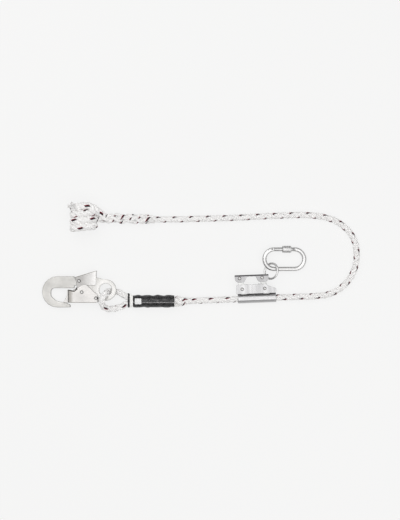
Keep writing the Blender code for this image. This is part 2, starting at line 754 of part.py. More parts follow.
def rivet(name, half_length, head, parent, place, finish, radius=RIVET_RADIUS):
    """A shank with a low domed head beyond half_length at either end."""
    head_radius, height = head
    bead = CLEARANCE / 2
    top = [(head_radius * r, half_length + height * h) for r, h in DOME_SHARES]
    top += [(head_radius, half_length + bead), (head_radius * FOOT_SHARE, half_length)]
    bottom = [(r, -h) for r, h in reversed(top)]
    profile = [*top, (radius, half_length), (radius, -half_length), *bottom]
    return turned(name, profile, PIN_SIDES, parent, finish, place)


def make_hook_body(frame):
    forged = material("zinc_forging")
    half = HOOK_THICKNESS / 2
    mesh = prism(
        "hook_body", [rounded(HOOK_OUTLINE), circle(0, 0, EYE_HOLE_RADIUS)], -half, half
    )
    body = add_object("hook_body", mesh, frame, forged)
    soften(body, HOOK_EDGE)
    deep = half + OVERRUN
    hole = RIVET_RADIUS + CLEARANCE
    for name, place in (("gate", GATE_PIVOT), ("lever", LEVER_PIVOT)):
        combine(body, drum(f"{name}_pivot_hole", *place, hole, -deep, deep))
        combine(body, drum(
            f"{name}_spring_pocket", *place, SPRING_POCKET_RADIUS, SPRING_POCKET_FLOOR,
            deep, ROUND_SIDES,
        ))
    reach = Vector(GUIDE_PLACE) - Vector(GATE_PIVOT)
    start = math.atan2(reach.y, reach.x)
    margin = GUIDE_SLOT_HALF_WIDTH / reach.length
    ends = (start + margin, start - GATE_OPENING - margin, FINE_ARC_STEP)
    outer = arc(*GATE_PIVOT, reach.length + GUIDE_SLOT_HALF_WIDTH, *ends)
    inner = arc(*GATE_PIVOT, reach.length - GUIDE_SLOT_HALF_WIDTH, *ends)
    combine(body, prism("guide_slot", [outer + inner[::-1]], -deep, deep))


def make_hook_springs(frame, gate_end, lever_end):
    steel = material("spring_steel")
    zinc = material("zinc_forging")
    head = (RIVET_HEAD_RADIUS, RIVET_HEAD_HEIGHT)
    rivet("gate_pivot_rivet", gate_end, head, frame, (*GATE_PIVOT, 0), zinc)
    rivet("lever_pivot_rivet", lever_end, head, frame, (*LEVER_PIVOT, 0), zinc)
    points = coil(HOOK_SPRING_RADIUS, HOOK_SPRING_PITCH, HOOK_SPRING_TURNS)
    low = SPRING_POCKET_FLOOR + CLEARANCE + HOOK_SPRING_WIRE / 2
    for name, place in (("gate_return_spring", GATE_PIVOT), ("lever_spring", LEVER_PIVOT)):
        seat = Vector((*place, low))
        tube(name, [seat + Vector(p) for p in points], HOOK_SPRING_WIRE / 2,
             WIRE_RESOLUTION, frame, steel)
        print_coil_gap(name, points, HOOK_SPRING_WIRE)


def make_gate(frame):
    bright = material("zinc_bright")
    zinc = material("zinc_forging")
    hinge = empty("hook_gate_hinge", frame, (*GATE_PIVOT, 0))
    wide, narrow = GATE_HALF_WIDTH, GATE_NECK_HALF_WIDTH
    step, neck = (x - GATE_PIVOT[0] for x in GATE_STEP)
    front = GATE_OUTLINE[0][0] - GATE_PIVOT[0] - OVERRUN
    rear = GATE_OUTLINE[1][0] - GATE_PIVOT[0] + OVERRUN
    floor = GATE_FLOOR - GATE_PIVOT[1]
    high = CUTTER_REACH
    mesh = prism("hook_gate", [moved(GATE_OUTLINE, GATE_PIVOT)], -wide, wide)
    gate = add_object("hook_gate", mesh, hinge, bright)
    outside = [
        (wide + OVERRUN, rear), (-wide - OVERRUN, rear), (-wide - OVERRUN, step),
        (-wide, step), (-narrow, neck), (-narrow, front), (narrow, front), (narrow, neck),
        (wide, step), (wide + OVERRUN, step),
    ]
    combine(gate, prism("gate_width", [outside], -high, high, ALONG_Y), "INTERSECT")
    wide, narrow = wide - SHEET, narrow - SHEET
    inside = [
        (wide, rear), (-wide, rear), (-wide, step), (-narrow, neck), (-narrow, front),
        (narrow, front), (narrow, neck), (wide, step),
    ]
    combine(gate, prism("gate_hollow", [inside], floor + SHEET, high, ALONG_Y))
    open_front = GATE_FLOOR_FRONT - GATE_PIVOT[0]
    mouth = [(-narrow, front), (narrow, front), (narrow, open_front), (-narrow, open_front)]
    combine(gate, prism(
        "gate_mouth", [mouth], floor - OVERRUN, floor + SHEET + OVERRUN, ALONG_Y
    ))
    deep = GATE_HALF_WIDTH + OVERRUN
    hole = RIVET_RADIUS + CLEARANCE
    guide = Vector(GUIDE_PLACE) - Vector(GATE_PIVOT)
    combine(gate, drum("gate_hole", 0, 0, hole, -deep, deep))
    combine(gate, drum("guide_hole", *guide, hole, -deep, deep))
    end = GATE_HALF_WIDTH + CLEARANCE
    head = (RIVET_HEAD_RADIUS, RIVET_HEAD_HEIGHT)
    rivet("gate_guide_rivet", end, head, hinge, (*guide, 0), zinc)


def make_lever(frame):
    grey = material("zinc_lever")
    hinge = empty("lock_lever_hinge", frame, (*LEVER_PIVOT, 0))
    wide = LEVER_HALF_WIDTH
    mesh = prism("lock_lever", [moved(LEVER_OUTLINE, LEVER_PIVOT)], -wide, wide)
    lever = add_object("lock_lever", mesh, hinge, grey)
    toe, heel = (Vector(p) - Vector(LEVER_PIVOT) for p in LEVER_TAB)
    along = (heel - toe).normalized()
    under = Vector((along.y, -along.x)) * SHEET
    low = toe + under - along * CUTTER_REACH
    high = heel + under + along * CUTTER_REACH
    down = -CUTTER_REACH
    hollow = [tuple(low), (low.x, down), (high.x, down), tuple(high)]
    wide -= SHEET
    combine(lever, prism("lever_hollow", [hollow], -wide, wide))
    lug = prism("lever_lug", [moved(LUG_OUTLINE, LEVER_PIVOT)], -LUG_HALF_WIDTH,
                LUG_HALF_WIDTH)
    combine(lever, lug, "UNION")
    deep = LEVER_HALF_WIDTH + OVERRUN
    combine(lever, drum("lever_hole", 0, 0, RIVET_RADIUS + CLEARANCE, -deep, deep))


def make_hook():
    frame = empty("hook_frame", None, (*HOOK_EYE_PLACE, hook_lift()), (0, -HOOK_TILT, 0))
    make_hook_body(frame)
    make_hook_springs(
        frame, GATE_HALF_WIDTH + CLEARANCE, LEVER_HALF_WIDTH + CLEARANCE
    )
    make_gate(frame)
    make_lever(frame)


# Rope adjuster


def make_shell(frame):
    """The J-shaped pressing: a channel round the rope and the back plate."""
    plated = material("adjuster_plate")
    outer = ROPE_DIAMETER / 2 + CHANNEL_CLEARANCE + ADJUSTER_SHEET
    inner = outer - ADJUSTER_SHEET
    inside = PLATE_INSIDE
    outside = inside + ADJUSTER_SHEET
    top = max(corner[1] for corner in PLATE_OUTLINE) + OVERRUN
    lip = CHANNEL_LIP_ANGLE
    outer_start = -math.asin(outside / outer) + 2 * math.pi
    inner_start = -math.asin(inside / inner) + 2 * math.pi
    section = [
        (top, -inside), (top, -outside), *arc(0, 0, outer, outer_start, lip),
        *arc(0, 0, inner, lip, inner_start),
    ]
    reach = OVERRUN - PLATE_OUTLINE[0][0]
    mesh = prism("adjuster_shell", [section], -reach, reach, ALONG_X)
    shell = add_object("adjuster_shell", mesh, frame, plated)
    left, right = PLATE_OUTLINE[0], PLATE_OUTLINE[1]
    half, low = CHANNEL_HALF_LENGTH, -outer - OVERRUN
    step = left[1] - ADJUSTER_SHEET / 2
    outline = [
        (-half, low, 0), (half, low, 0), (half, step, 0), right, *PLATE_OUTLINE[2:],
        left, (-half, step, 0),
    ]
    deep = outer + OVERRUN
    plan = prism("shell_plan", [rounded(outline)], -deep, deep)
    combine(shell, plan, "INTERSECT")
    mesh = prism("adjuster_face_plate", [rounded(PLATE_OUTLINE)], inside, outside)
    face = add_object("adjuster_face_plate", mesh, frame, plated)
    hole = RIVET_RADIUS + CLEARANCE
    for name, x in (("rear", REAR_CAM_X), ("front", FRONT_CAM_X)):
        cutter = drum(f"{name}_plate_hole", x, CAM_PIN_HEIGHT, hole, -deep, deep)
        combine(shell, cutter)
        cutter = drum(f"{name}_face_hole", x, CAM_PIN_HEIGHT, hole, -deep, deep)
        combine(face, cutter)
        head = (ADJUSTER_HEAD_RADIUS, ADJUSTER_HEAD_HEIGHT)
        rivet(f"cam_pin_{name}", outside + CLEARANCE, head, frame, (x, CAM_PIN_HEIGHT, 0),
              material("stainless"))


def link_top():
    """Where a cam carries the pull bar, from its own pin."""
    return Vector((-math.sin(LINK_LEAN), math.cos(LINK_LEAN))) * LINK_LENGTH


def cam_outline():
    """A toothed spiral below the pin and an arm up to the pull bar."""
    first, last = CAM_FACE
    points = []
    for k in range(CAM_FACE_STEPS + 1):
        angle = first + (last - first) * k / CAM_FACE_STEPS
        radius = CAM_RADIUS + CAM_RISE * (angle + math.pi / 2) - CAM_TOOTH * (k % 2)
        points.append((radius * math.cos(angle), radius * math.sin(angle)))
    top = link_top()
    along = top.normalized()
    across = Vector((along.y, -along.x))
    shoulder = along * HUB_RADIUS
    points.append(tuple(shoulder + across * ARM_ROOT_HALF_WIDTH))
    points.append(tuple(shoulder * 2 + across * ARM_HALF_WIDTH))
    start = math.atan2(across.y, across.x)
    points += arc(*top, LINK_END_RADIUS, start, start + math.pi)
    points.append(tuple(shoulder * 2 - across * ARM_HALF_WIDTH))
    points.append(tuple(shoulder / 2 - across * ARM_ROOT_HALF_WIDTH))
    return points


def make_cam(name, hinge):
    steel = material("cam_steel")
    half = CAM_HALF_THICKNESS
    cam = add_object(name, prism(name, [cam_outline()], -half, half), hinge, steel)
    hub = HUB_HALF_THICKNESS
    combine(cam, drum(f"{name}_hub", 0, 0, HUB_RADIUS, -hub, hub, ROUND_SIDES), "UNION")
    top = link_top()
    hub = LINK_HUB_HALF_THICKNESS
    boss = drum(f"{name}_boss", *top, LINK_END_RADIUS, -hub, hub, ROUND_SIDES)
    combine(cam, boss, "UNION")
    deep = hub + OVERRUN
    hole = RIVET_RADIUS + CLEARANCE
    combine(cam, drum(f"{name}_pin_hole", 0, 0, hole, -deep, deep))
    combine(cam, drum(f"{name}_link_hole", *top, hole, -deep, deep))


def make_cam_spring(frame):
    """A loop round the front cam's hub with a leg that shows above the plate."""
    steel = material("spring_steel")
    wire = CAM_SPRING_WIRE
    low = CAM_HALF_THICKNESS + CLEARANCE + wire / 2
    points = coil(CAM_SPRING_RADIUS, CAM_SPRING_PITCH, CAM_SPRING_TURNS, CAM_SPRING_START)
    end = points[-1]
    points += [(*CAM_SPRING_LEG, end[2])]
    seat = Vector((FRONT_CAM_X, CAM_PIN_HEIGHT, low))
    tube("cam_spring", [seat + Vector(p) for p in points], wire / 2, WIRE_RESOLUTION, frame,
         steel)
    print_coil_gap("cam_spring", points, wire)


def make_pull_bar(hinge):
    """The U-shaped bar; hinge stands where the rear cam carries it."""
    plated = material("adjuster_plate")
    top = link_top()
    pivot = (REAR_CAM_X + top.x, CAM_PIN_HEIGHT + top.y)
    outside = BAR_INSIDE + BAR_SHEET
    mesh = prism("pull_bar", [moved(BAR_OUTLINE, pivot)], -outside, outside)
    bar = add_object("pull_bar", mesh, hinge, plated)
    left, right = BAR_OUTLINE[1][0] - pivot[0], BAR_OUTLINE[0][0] - pivot[0]
    web = BAR_OUTLINE[0][1] - BAR_FLANGE - pivot[1]
    low = -LINK_LENGTH
    inside = BAR_INSIDE
    hollow = [
        (left - OVERRUN, low), (right + OVERRUN, low), (right + OVERRUN, web),
        (left - OVERRUN, web),
    ]
    combine(bar, prism("bar_hollow", [hollow], -inside, inside))
    start, end = (x - pivot[0] for x in RING_SLOT)
    high = web + BAR_FLANGE + OVERRUN
    slot = [(start, web - OVERRUN), (end, web - OVERRUN), (end, high), (start, high)]
    combine(bar, prism("ring_slot", [slot], -inside, inside))
    deep = outside + OVERRUN
    hole = RIVET_RADIUS + CLEARANCE
    spacing = FRONT_CAM_X - REAR_CAM_X
    combine(bar, drum("bar_hole_rear", 0, 0, hole, -deep, deep))
    combine(bar, drum("bar_hole_front", spacing, 0, hole, -deep, deep))


def make_ring(hinge):
    """The ring, as points round a leaning circle; hinge stands in the slot."""
    steel = material("stainless")
    centre = Vector(RING_CENTRE) - Vector((*RING_SEAT, 0))
    along = Vector((math.cos(RING_LEAN), math.sin(RING_LEAN), 0))
    flat = Vector((along.y, -along.x, 0))
    rise = flat * math.cos(RING_INCLINE) + Vector((0, 0, math.sin(RING_INCLINE)))
    points = []
    for k in range(RING_SIDES):
        a = 2 * math.pi * k / RING_SIDES
        points.append(centre + (along * math.cos(a) + rise * math.sin(a)) * RING_RADIUS)
    tube("harness_ring", points, RING_WIRE / 2, RING_RESOLUTION, hinge, steel, closed=True)


def make_adjuster():
    frame = empty("adjuster_frame", None, (*ADJUSTER_PLACE, run_height()),
                  (0, 0, RUN_TILT))
    make_shell(frame)
    make_cam_spring(frame)
    stainless = material("stainless")
    top = link_top()
    head = (ADJUSTER_HEAD_RADIUS, ADJUSTER_HEAD_HEIGHT)
    end = BAR_INSIDE + BAR_SHEET + CLEARANCE
    bar_hinge = None
    for name, x in (("rear", REAR_CAM_X), ("front", FRONT_CAM_X)):
        hinge = empty(f"cam_{name}_hinge", frame, (x, CAM_PIN_HEIGHT, 0))
        make_cam(f"cam_{name}", hinge)
        if bar_hinge is None:
            bar_hinge = empty("pull_bar_hinge", hinge, (*top, 0))
            rivet(f"link_pin_{name}", end, head, hinge, (*top, 0), stainless)
        else:
            across = (FRONT_CAM_X - REAR_CAM_X, 0, 0)
            rivet(f"link_pin_{name}", end, head, bar_hinge, across, stainless)
    make_pull_bar(bar_hinge)
    pivot = Vector((REAR_CAM_X, CAM_PIN_HEIGHT)) + top
    seat = Vector(RING_SEAT) - pivot
    ring_hinge = empty("ring_hinge", bar_hinge, (*seat, 0))
    make_ring(ring_hinge)
    return ring_hinge


# Carabiner


def make_carabiner_body(frame):
    steel = material("stainless")
    radius = CARABINER_HALF_WIDTH
    straight = CARABINER_HALF_LENGTH - radius
    pin_y = radius
    quarter = math.pi / 2
    points = [(BODY_START_X, radius)]
    points += arc(straight, 0, radius, BEND_START, -quarter)
    points += arc(-straight, 0, radius, -quarter, -3 * quarter)
    points = [(x, y, 0) for x, y in points]
    body = tube("carabiner_body", points, BAR_RADIUS, BAR_RESOLUTION, frame, steel)
    nose = drum("nose", radius, 0, NOSE_RADIUS, NOSE_X, BODY_START_X + OVERRUN / 2,
                ROUND_SIDES, ALONG_X)
    combine(body, nose, "UNION")
    half = BLADE_HALF_THICKNESS
    combine(body, prism("blade", [rounded(BLADE_OUTLINE)], -half, half), "UNION")
    x, round_radius = GATE_HINGE_X, KNUCKLE_RADIUS
    wide = round_radius * 2
    relief = [
        *arc(x, pin_y, round_radius, quarter, -quarter), (x, pin_y - wide),
        (x + wide, pin_y - wide), (x + wide, pin_y + wide), (x, pin_y + wide),
    ]
    combine(body, prism("knuckle_relief", [relief], -wide, wide))
    room = round_radius + CLEARANCE
    slot = [
        *arc(x, pin_y, room, quarter, 3 * quarter), (x + wide, pin_y - room),
        (x + wide, pin_y + room),
    ]
    half = TONGUE_HALF_THICKNESS + CLEARANCE
    combine(body, prism("tongue_slot", [slot], -half, half))
    hole = HINGE_PIN_RADIUS + CLEARANCE
    combine(body, drum("hinge_pin_hole", x, pin_y, hole, -wide, wide))
    pin = drum("carabiner_hinge_pin", x, pin_y, HINGE_PIN_RADIUS, -BAR_RADIUS, BAR_RADIUS)
    add_object("carabiner_hinge_pin", pin, frame, steel)


def make_carabiner_gate(frame):
    steel = material("stainless")
    spring_steel = material("spring_steel")
    pin = (GATE_HINGE_X, CARABINER_HALF_WIDTH)
    hinge = empty("carabiner_gate_hinge", frame, (*pin, 0))
    tip = GATE_TIP_X - GATE_HINGE_X
    radius = GATE_BAR_RADIUS
    mesh = drum("carabiner_gate", 0, 0, radius, -radius, tip, ROUND_SIDES, ALONG_X)
    gate = add_object("carabiner_gate", mesh, hinge, steel)
    outline = [
        *arc(0, 0, radius, math.pi / 2, 3 * math.pi / 2), (0, -radius * 2),
        (tip + OVERRUN, -radius * 2), (tip + OVERRUN, radius * 2), (0, radius * 2),
    ]
    combine(gate, prism("knuckle", [outline], -radius * 2, radius * 2), "INTERSECT")
    thin = TONGUE_HALF_THICKNESS
    room = KNUCKLE_RADIUS + CLEARANCE
    for name, low, high in (("above", thin, radius * 2), ("below", -radius * 2, -thin)):
        combine(gate, drum(f"tongue_{name}", 0, 0, room, low, high, ROUND_SIDES))
    combine(gate, drum("gate_pin_hole", 0, 0, HINGE_PIN_RADIUS + CLEARANCE, -room, room))
    combine(gate, drum("hinge_spring_pocket", 0, 0, HINGE_POCKET_RADIUS,
                       HINGE_POCKET_FLOOR, room, ROUND_SIDES))
    slot_x = FORK_SLOT_X - GATE_HINGE_X
    slot = [(slot_x, -room), (tip + OVERRUN, -room), (tip + OVERRUN, room), (slot_x, room)]
    half = BLADE_HALF_THICKNESS + CLEARANCE
    combine(gate, prism("fork_slot", [slot], -half, half))
    latch_x = LATCH_PIN_X - GATE_HINGE_X
    combine(gate, drum("latch_pin_hole", latch_x, 0, LATCH_PIN_RADIUS + CLEARANCE,
                       -room, room))
    latch = drum("latch_pin", latch_x, 0, LATCH_PIN_RADIUS, -radius, radius)
    add_object("latch_pin", latch, hinge, steel)
    wire = GATE_SPRING_WIRE
    low = HINGE_POCKET_FLOOR + CLEARANCE + wire / 2
    points = coil(GATE_SPRING_RADIUS, GATE_SPRING_PITCH, GATE_SPRING_TURNS)
    tube("carabiner_gate_spring", [Vector(p) + Vector((0, 0, low)) for p in points],
         wire / 2, WIRE_RESOLUTION, hinge, spring_steel)
    print_coil_gap("carabiner_gate_spring", points, wire)
    return hinge


def make_screw_sleeve(hinge):
    steel = material("stainless")
    start = SLEEVE_REST_X - GATE_HINGE_X
    slide = empty("screw_sleeve_slide", hinge, (start, 0, 0), (0, math.pi / 2, 0))
    length, cut = SCREW_SLEEVE_LENGTH, SLEEVE_CHAMFER
    outer, bore = SCREW_SLEEVE_RADIUS, SCREW_SLEEVE_BORE
    profile = [
        (bore, length), (outer - cut, length), (outer, length - cut), (outer, cut),
        (outer - cut, 0), (bore, 0), (bore, length),
    ]
    turned("screw_sleeve", profile, ROUND_SIDES, slide, steel)


def carabiner_place(ring_centre):
    """Where the oval lies, with its bend's bar through the ring and its far end down."""
    room = RING_RADIUS - RING_WIRE / 2 - BAR_RADIUS
    reach = CARABINER_HALF_WIDTH + room * PLAY_SHARE
    ring_x = CARABINER_HALF_WIDTH - CARABINER_HALF_LENGTH + reach * math.cos(RING_SIDE)
    x = ring_centre.x - ring_x * math.cos(CARABINER_TILT)
    y = ring_centre.y - reach * math.sin(RING_SIDE)
    lift = BAR_RADIUS + CARABINER_HALF_LENGTH * math.sin(CARABINER_TILT)
    return Vector((round(x, PLACE_DIGITS), round(y, PLACE_DIGITS), lift))


def make_carabiner(ring_hinge):
    """Placed in the world's terms and hung on the ring's hinge."""
    frame = empty("carabiner_frame", ring_hinge)
    bpy.context.view_layer.update()
    ring_centre = ring_hinge.matrix_world @ (Vector(RING_CENTRE) - Vector((*RING_SEAT, 0)))
    place = carabiner_place(ring_centre)
    wanted = Matrix.Translation(place) @ Matrix.Rotation(CARABINER_TILT, 4, "Y")
    frame.matrix_basis = ring_hinge.matrix_world.inverted() @ wanted
    make_carabiner_body(frame)
    make_screw_sleeve(make_carabiner_gate(frame))


def main():
    clear_scene()
    make_collections()
    make_rope()
    make_splice()
    make_back_splice()
    make_hook()
    make_carabiner(make_adjuster())


main()
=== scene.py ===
import json
from math import cos, exp, pi, radians, sin, sqrt

import bmesh
import bpy
from mathutils import Matrix, Vector

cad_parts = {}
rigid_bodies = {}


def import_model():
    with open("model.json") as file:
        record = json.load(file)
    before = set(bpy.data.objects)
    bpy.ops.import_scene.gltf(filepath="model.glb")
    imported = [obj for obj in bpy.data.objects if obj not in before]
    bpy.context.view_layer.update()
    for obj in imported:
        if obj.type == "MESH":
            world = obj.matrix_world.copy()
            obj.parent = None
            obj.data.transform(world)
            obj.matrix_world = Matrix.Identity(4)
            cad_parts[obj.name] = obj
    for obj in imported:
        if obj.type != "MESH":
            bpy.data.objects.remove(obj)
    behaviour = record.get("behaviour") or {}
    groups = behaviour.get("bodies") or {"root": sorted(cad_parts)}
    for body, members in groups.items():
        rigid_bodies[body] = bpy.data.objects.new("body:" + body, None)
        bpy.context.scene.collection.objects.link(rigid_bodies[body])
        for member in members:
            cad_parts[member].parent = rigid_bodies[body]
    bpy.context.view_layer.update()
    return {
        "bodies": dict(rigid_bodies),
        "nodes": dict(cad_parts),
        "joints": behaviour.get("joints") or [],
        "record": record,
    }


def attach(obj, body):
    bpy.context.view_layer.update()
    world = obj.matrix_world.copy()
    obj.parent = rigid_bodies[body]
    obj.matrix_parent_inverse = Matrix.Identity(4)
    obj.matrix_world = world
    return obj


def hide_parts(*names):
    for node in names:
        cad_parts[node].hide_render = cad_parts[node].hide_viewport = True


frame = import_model()
nodes = frame["nodes"]

# Camera: straight down on the photograph's frame
IMAGE_HEIGHT = 520
METRES_PER_PIXEL = 0.00243
IMAGE_MIDDLE = (0.0627, 0.0462)
CAMERA_HEIGHT = 6.0
SENSOR_HEIGHT = 24.0

# Rope: its route as in the part, then its lay and its tracer
ROPE_RADIUS = 0.008
RUN_PLACE = (0.2012, -0.0468, 0.0106)
RUN_TILT = radians(2.2)
RUN_STATIONS = (-0.1625, -0.120, -0.075, -0.030, 0.015, 0.060, 0.100, 0.140)
FREE_HEIGHT = 0.0081
FREE_ROUTE = [(0.3810, -0.0350, 0.0086), *((x, y, FREE_HEIGHT) for x, y in (
    (0.4140, -0.0134), (0.4360, 0.0194), (0.4430, 0.0583), (0.4358, 0.0972),
    (0.4120, 0.1275), (0.3774, 0.1468), (0.3300, 0.1548), (0.2814, 0.1548),
    (0.2134, 0.1521), (0.1405, 0.1485), (0.0846, 0.1470), (0.0141, 0.1451),
    (-0.0418, 0.1446),
))]
HOOK_EYE = (-0.1657, -0.0265, 0.0)
EYE_ROUTE = [
    (0.0512, -0.0166, 0.0098), (0.0440, -0.0125, 0.0090), (0.0358, -0.0076, 0.0085),
    (0.0250, -0.0042, 0.0083), (0.0150, -0.0030, 0.0084), (0.0074, -0.0032, 0.0120),
    (0.0030, -0.0050, 0.0205), (-0.0012, -0.0092, 0.0300), (-0.0062, -0.0174, 0.0346),
    (-0.0090, -0.0270, 0.0340), (-0.0080, -0.0362, 0.0287), (-0.0025, -0.0428, 0.0210),
    (0.0070, -0.0460, 0.0137), (0.0190, -0.0458, 0.0094), (0.0320, -0.0424, 0.0084),
    (0.0420, -0.0382, 0.0089), (0.0512, -0.0338, 0.0098),
]
STATION = 0.0025  # between the sections of a laid rope
LAY = 0.0405
YARNS = 12
YARN_LENGTH = 0.01  # of one step in V
YARN_RATE = 2  # turns of the yarns for each turn of the strands
STRAND_SIDES = 12
STRAND_SQUASH = (0.97, 1.04)  # outward and sideways
STRAND_REACH = 0.475  # of the rope's radius
STRAND_SIZE = 0.535
TRACER_PLACE = 0.2287
TRACER_ANGLE = radians(54)
RUN_TWIST = radians(53)  # of the strands, short of the adjuster
YARN_TWIST = radians(7)
TWIST_END = (0.12, 0.08)  # where this twist starts to fade, and over what length
ROPE_LEAD = 0.003  # of the strands, into the eye splice
CORE_TAPER = 0.016
EYE_LAY = 0.052
EYE_LEG = (0.016, 0.0052, 0.0150)  # where both legs end inside the splice
EYE_TAPER = (0.0012, 0.016, 0.010)  # how much thinner, from where, and over what length
EYE_TRACED = 0.100  # the length that shows the tracer, from the second leg's end
EYE_TRACER_PLACE = 0.0785
EYE_TRACER_ANGLE = radians(15)

# Splices
SPLICE_START = (-0.1123, -0.0516)
SPLICE_HEIGHT = 0.0159
SPLICE_RADIUS = 0.0137
SPLICE_LENGTH = 0.1506
SPLICE_SHIFT = 0.16  # of its radius, away from the hook's side
SPLICE_WAVE = (0.0006, 0.0243)  # depth and length
SPLICE_BLEND = 0.010  # the tucks start to thin this far past the sleeve
COLLAR_END = 0.0047
TAPE_END = 0.0129
SLEEVE_END = 0.1128
LABEL_SPAN = (0.0165, 0.0340)  # of the sleeve, kept smooth under the label
LABEL_EDGE = 0.8  # cosine of the label's half angle round the sleeve
SLEEVE_LUMP = 0.0006
SLEEVE_SEAM = radians(11)
SEAM_HEIGHT = 0.0007
SEAM_WIDTH = 0.045  # radians
SEAM_TURNS = (-0.16, -0.10, -0.06, -0.035, 0.0, 0.035, 0.06, 0.10, 0.16)
SEAM_CLEAR = 0.17
SHELL_SIDES = 60
SHELL_GAP = 0.0003
SHELL_ROUND = 0.0006  # of a shell's lips
SHELL_BORE = 0.0002
COLLAR_OVAL = 0.00015
WHIPPING_TURNS = (0.00016, 0.0011)  # depth and pitch
TAIL_RADIUS = 0.0152
CROTCH = (0.0162, 0.0082, 0.0100)
BACK_SPLICE_LENGTH = 0.155
BACK_SPLICE_RADIUS = 0.0132
BACK_SPLICE_HEIGHT = 0.0146
BACK_SPLICE_HEADING = radians(178.5)
BACK_SPLICE_RISE = 0.022
BACK_SPLICE_GROWTH = 0.020
BACK_SPLICE_WAVE = (0.0007, 0.030)
CORE_LENGTH = 0.135
CORE_RADIUS = 0.006
WEAVE_STATION = 0.002
WEAVE_MIDDLE = 0.50
WEAVE_SWING = 0.185
WEAVE_SIZE = 0.305
BASE_RATE = radians(4600)
TUCK_RATE = radians(-3400)
TUCK_CUT = 0.22  # where a tucked strand's end is cut off, as a share of the weave
TUCK_SIZE = 0.12  # of a tucked strand where the weave is plain rope
KNOT_HEIGHT = 0.0263
KNOT_PLACE = 0.1797
KNOT_ENTRY = [
    (-0.0560, 0.0000, -0.0115), (-0.0480, -0.0050, -0.0100), (-0.0390, -0.0130, -0.0040),
    (-0.0280, -0.0210, 0.0040), (-0.0140, -0.0270, 0.0100), (0.0020, -0.0270, 0.0120),
]
KNOT_WRAPS = 3.3
KNOT_WRAP_SIZE = (0.0245, 0.0160)
KNOT_WRAP_SHIFT = -0.0030
KNOT_ROWS = (-0.0265, 0.0165)  # the first turn's place across and the step between turns
KNOT_ROPE_RADIUS = 0.0102
KNOT_LAY = 0.040
KNOT_STEPS = 12  # points in a turn
KNOT_SQUARE = 0.10
KNOT_TRACER_PLACE = 0.06
KNOT_TRACER_ANGLE = radians(20)
KNOT_END_RADIUS = (0.0022, 0.0012)  # at the root, and how much it grows
KNOT_END_RATE = 600.0  # radians of the yarns' turn in a metre
KNOT_END_TURN = 4.0  # radians for a lean of one
KNOT_END_REACH = (0.006, -0.007, 0.003)
KNOT_END_ROOT = 0.8  # of the reach, back into the knot
KNOT_END_LEAN = (0.004, 0.004, 0.0)  # added to the reach for a lean of one
KNOT_ENDS = [
    # x, y, z, lean
    (0.0215, -0.0290, 0.012, 0.3), (0.0265, -0.0235, 0.015, 0.9),
    (0.0190, -0.0255, 0.0185, 0.1),
]

# Metal, placed and sized after the part
HOOK_TILT = radians(5.6)
HOOK_LIFT = 0.01987
CARABINER_TILT = radians(6.0)
CARABINER_PLACE = (0.2673, 0.0484, 0.01034)
CARABINER_BEND = 0.0238  # radius of the bar's middle line
CARABINER_STRAIGHT = 0.0249  # half of the straight side
CARABINER_BAR = 0.00527
CARABINER_SIDES = 28
BOW_ANGLES = (84, -235)  # where the bar starts and ends, in degrees
BOW_STEPS = 40
RING_MIDDLE = (0.23529, 0.01936, 0.0152)
RING_ALONG = (0.27060, 0.96269, 0.0)
RING_RISE = (0.76884, -0.21611, 0.60182)
RING_RADIUS = 0.0188
RING_WIRE = 0.0025
RING_STEPS = 72
WIRE_SIDES = 18
KNURL_SIDES = 60
KNURL_STEP = 0.00075
KNURL_ROWS = 24
KNURL_DEPTHS = (-0.00006, 0.00028)  # of the points and of the pits between them
SCREW_PLACE = -0.0049
SCREW_LENGTH = 0.0214
SCREW_RADIUS = 0.0082
SCREW_BORE = 0.00515
SCREW_CHAMFER = 0.0008
SCREW_GROOVES = (0.0018, 0.0196)
SCREW_GROOVE_DEPTH = 0.0003
NOSE_PLACE = 0.0225
THREAD_SIDES = 40
THREAD_PITCH = 0.0006
THREAD_TURNS = 6
THREAD_RADII = (0.0046, 0.0049)  # of the root and the crest
THREAD_FOOT = (0.0002, 0.0005)  # heights of the first root and crest
THREAD_END = (0.0045, 0.0040)  # radius and height
WELD_DISTANCE = 0.0000002

HOOK = Matrix.Translation((*HOOK_EYE[:2], HOOK_LIFT)) @ Matrix.Rotation(-HOOK_TILT, 4, "Y")
ADJUSTER = Matrix.Translation(RUN_PLACE) @ Matrix.Rotation(RUN_TILT, 4, "Z")
CARABINER = Matrix.Translation(CARABINER_PLACE) @ Matrix.Rotation(CARABINER_TILT, 4, "Y")

# Seams and patches for painted shade, highlights and reflections, and for darker tones: on the
# hook, the carabiner and the adjuster, each in its own frame, and the sleeve's seam in the
# world's Y
LEVER_SEAM = ((-0.0744, 0.0305), (-0.0705, 0.0120), (-0.0700, 0.0050), (-0.0735, -0.0020))
LEVER_TOP = ((-0.0735, 0.0313), (-0.0214, 0.0468))
GATE_SEAM = ((-0.0690, 0.0022), (-0.0758, -0.0030), (-0.0810, -0.0024), (-0.0910, 0.0004))
GATE_FOOT = ((-0.0860, -0.0302), (-0.0230, -0.0302))
EYE_MIDDLE = ((0.0, 0.0), (0.0001, 0.0))  # hardly more than a point
DARKER_SIDE = ((-0.0180, -CARABINER_BEND), (0.0290, -CARABINER_BEND))
BAR_EARS = [((-0.0450, 0.0480), (-0.0350, 0.0480)), ((0.0090, 0.0475), (0.0190, 0.0475))]
SEAM_PLACE = -0.0566

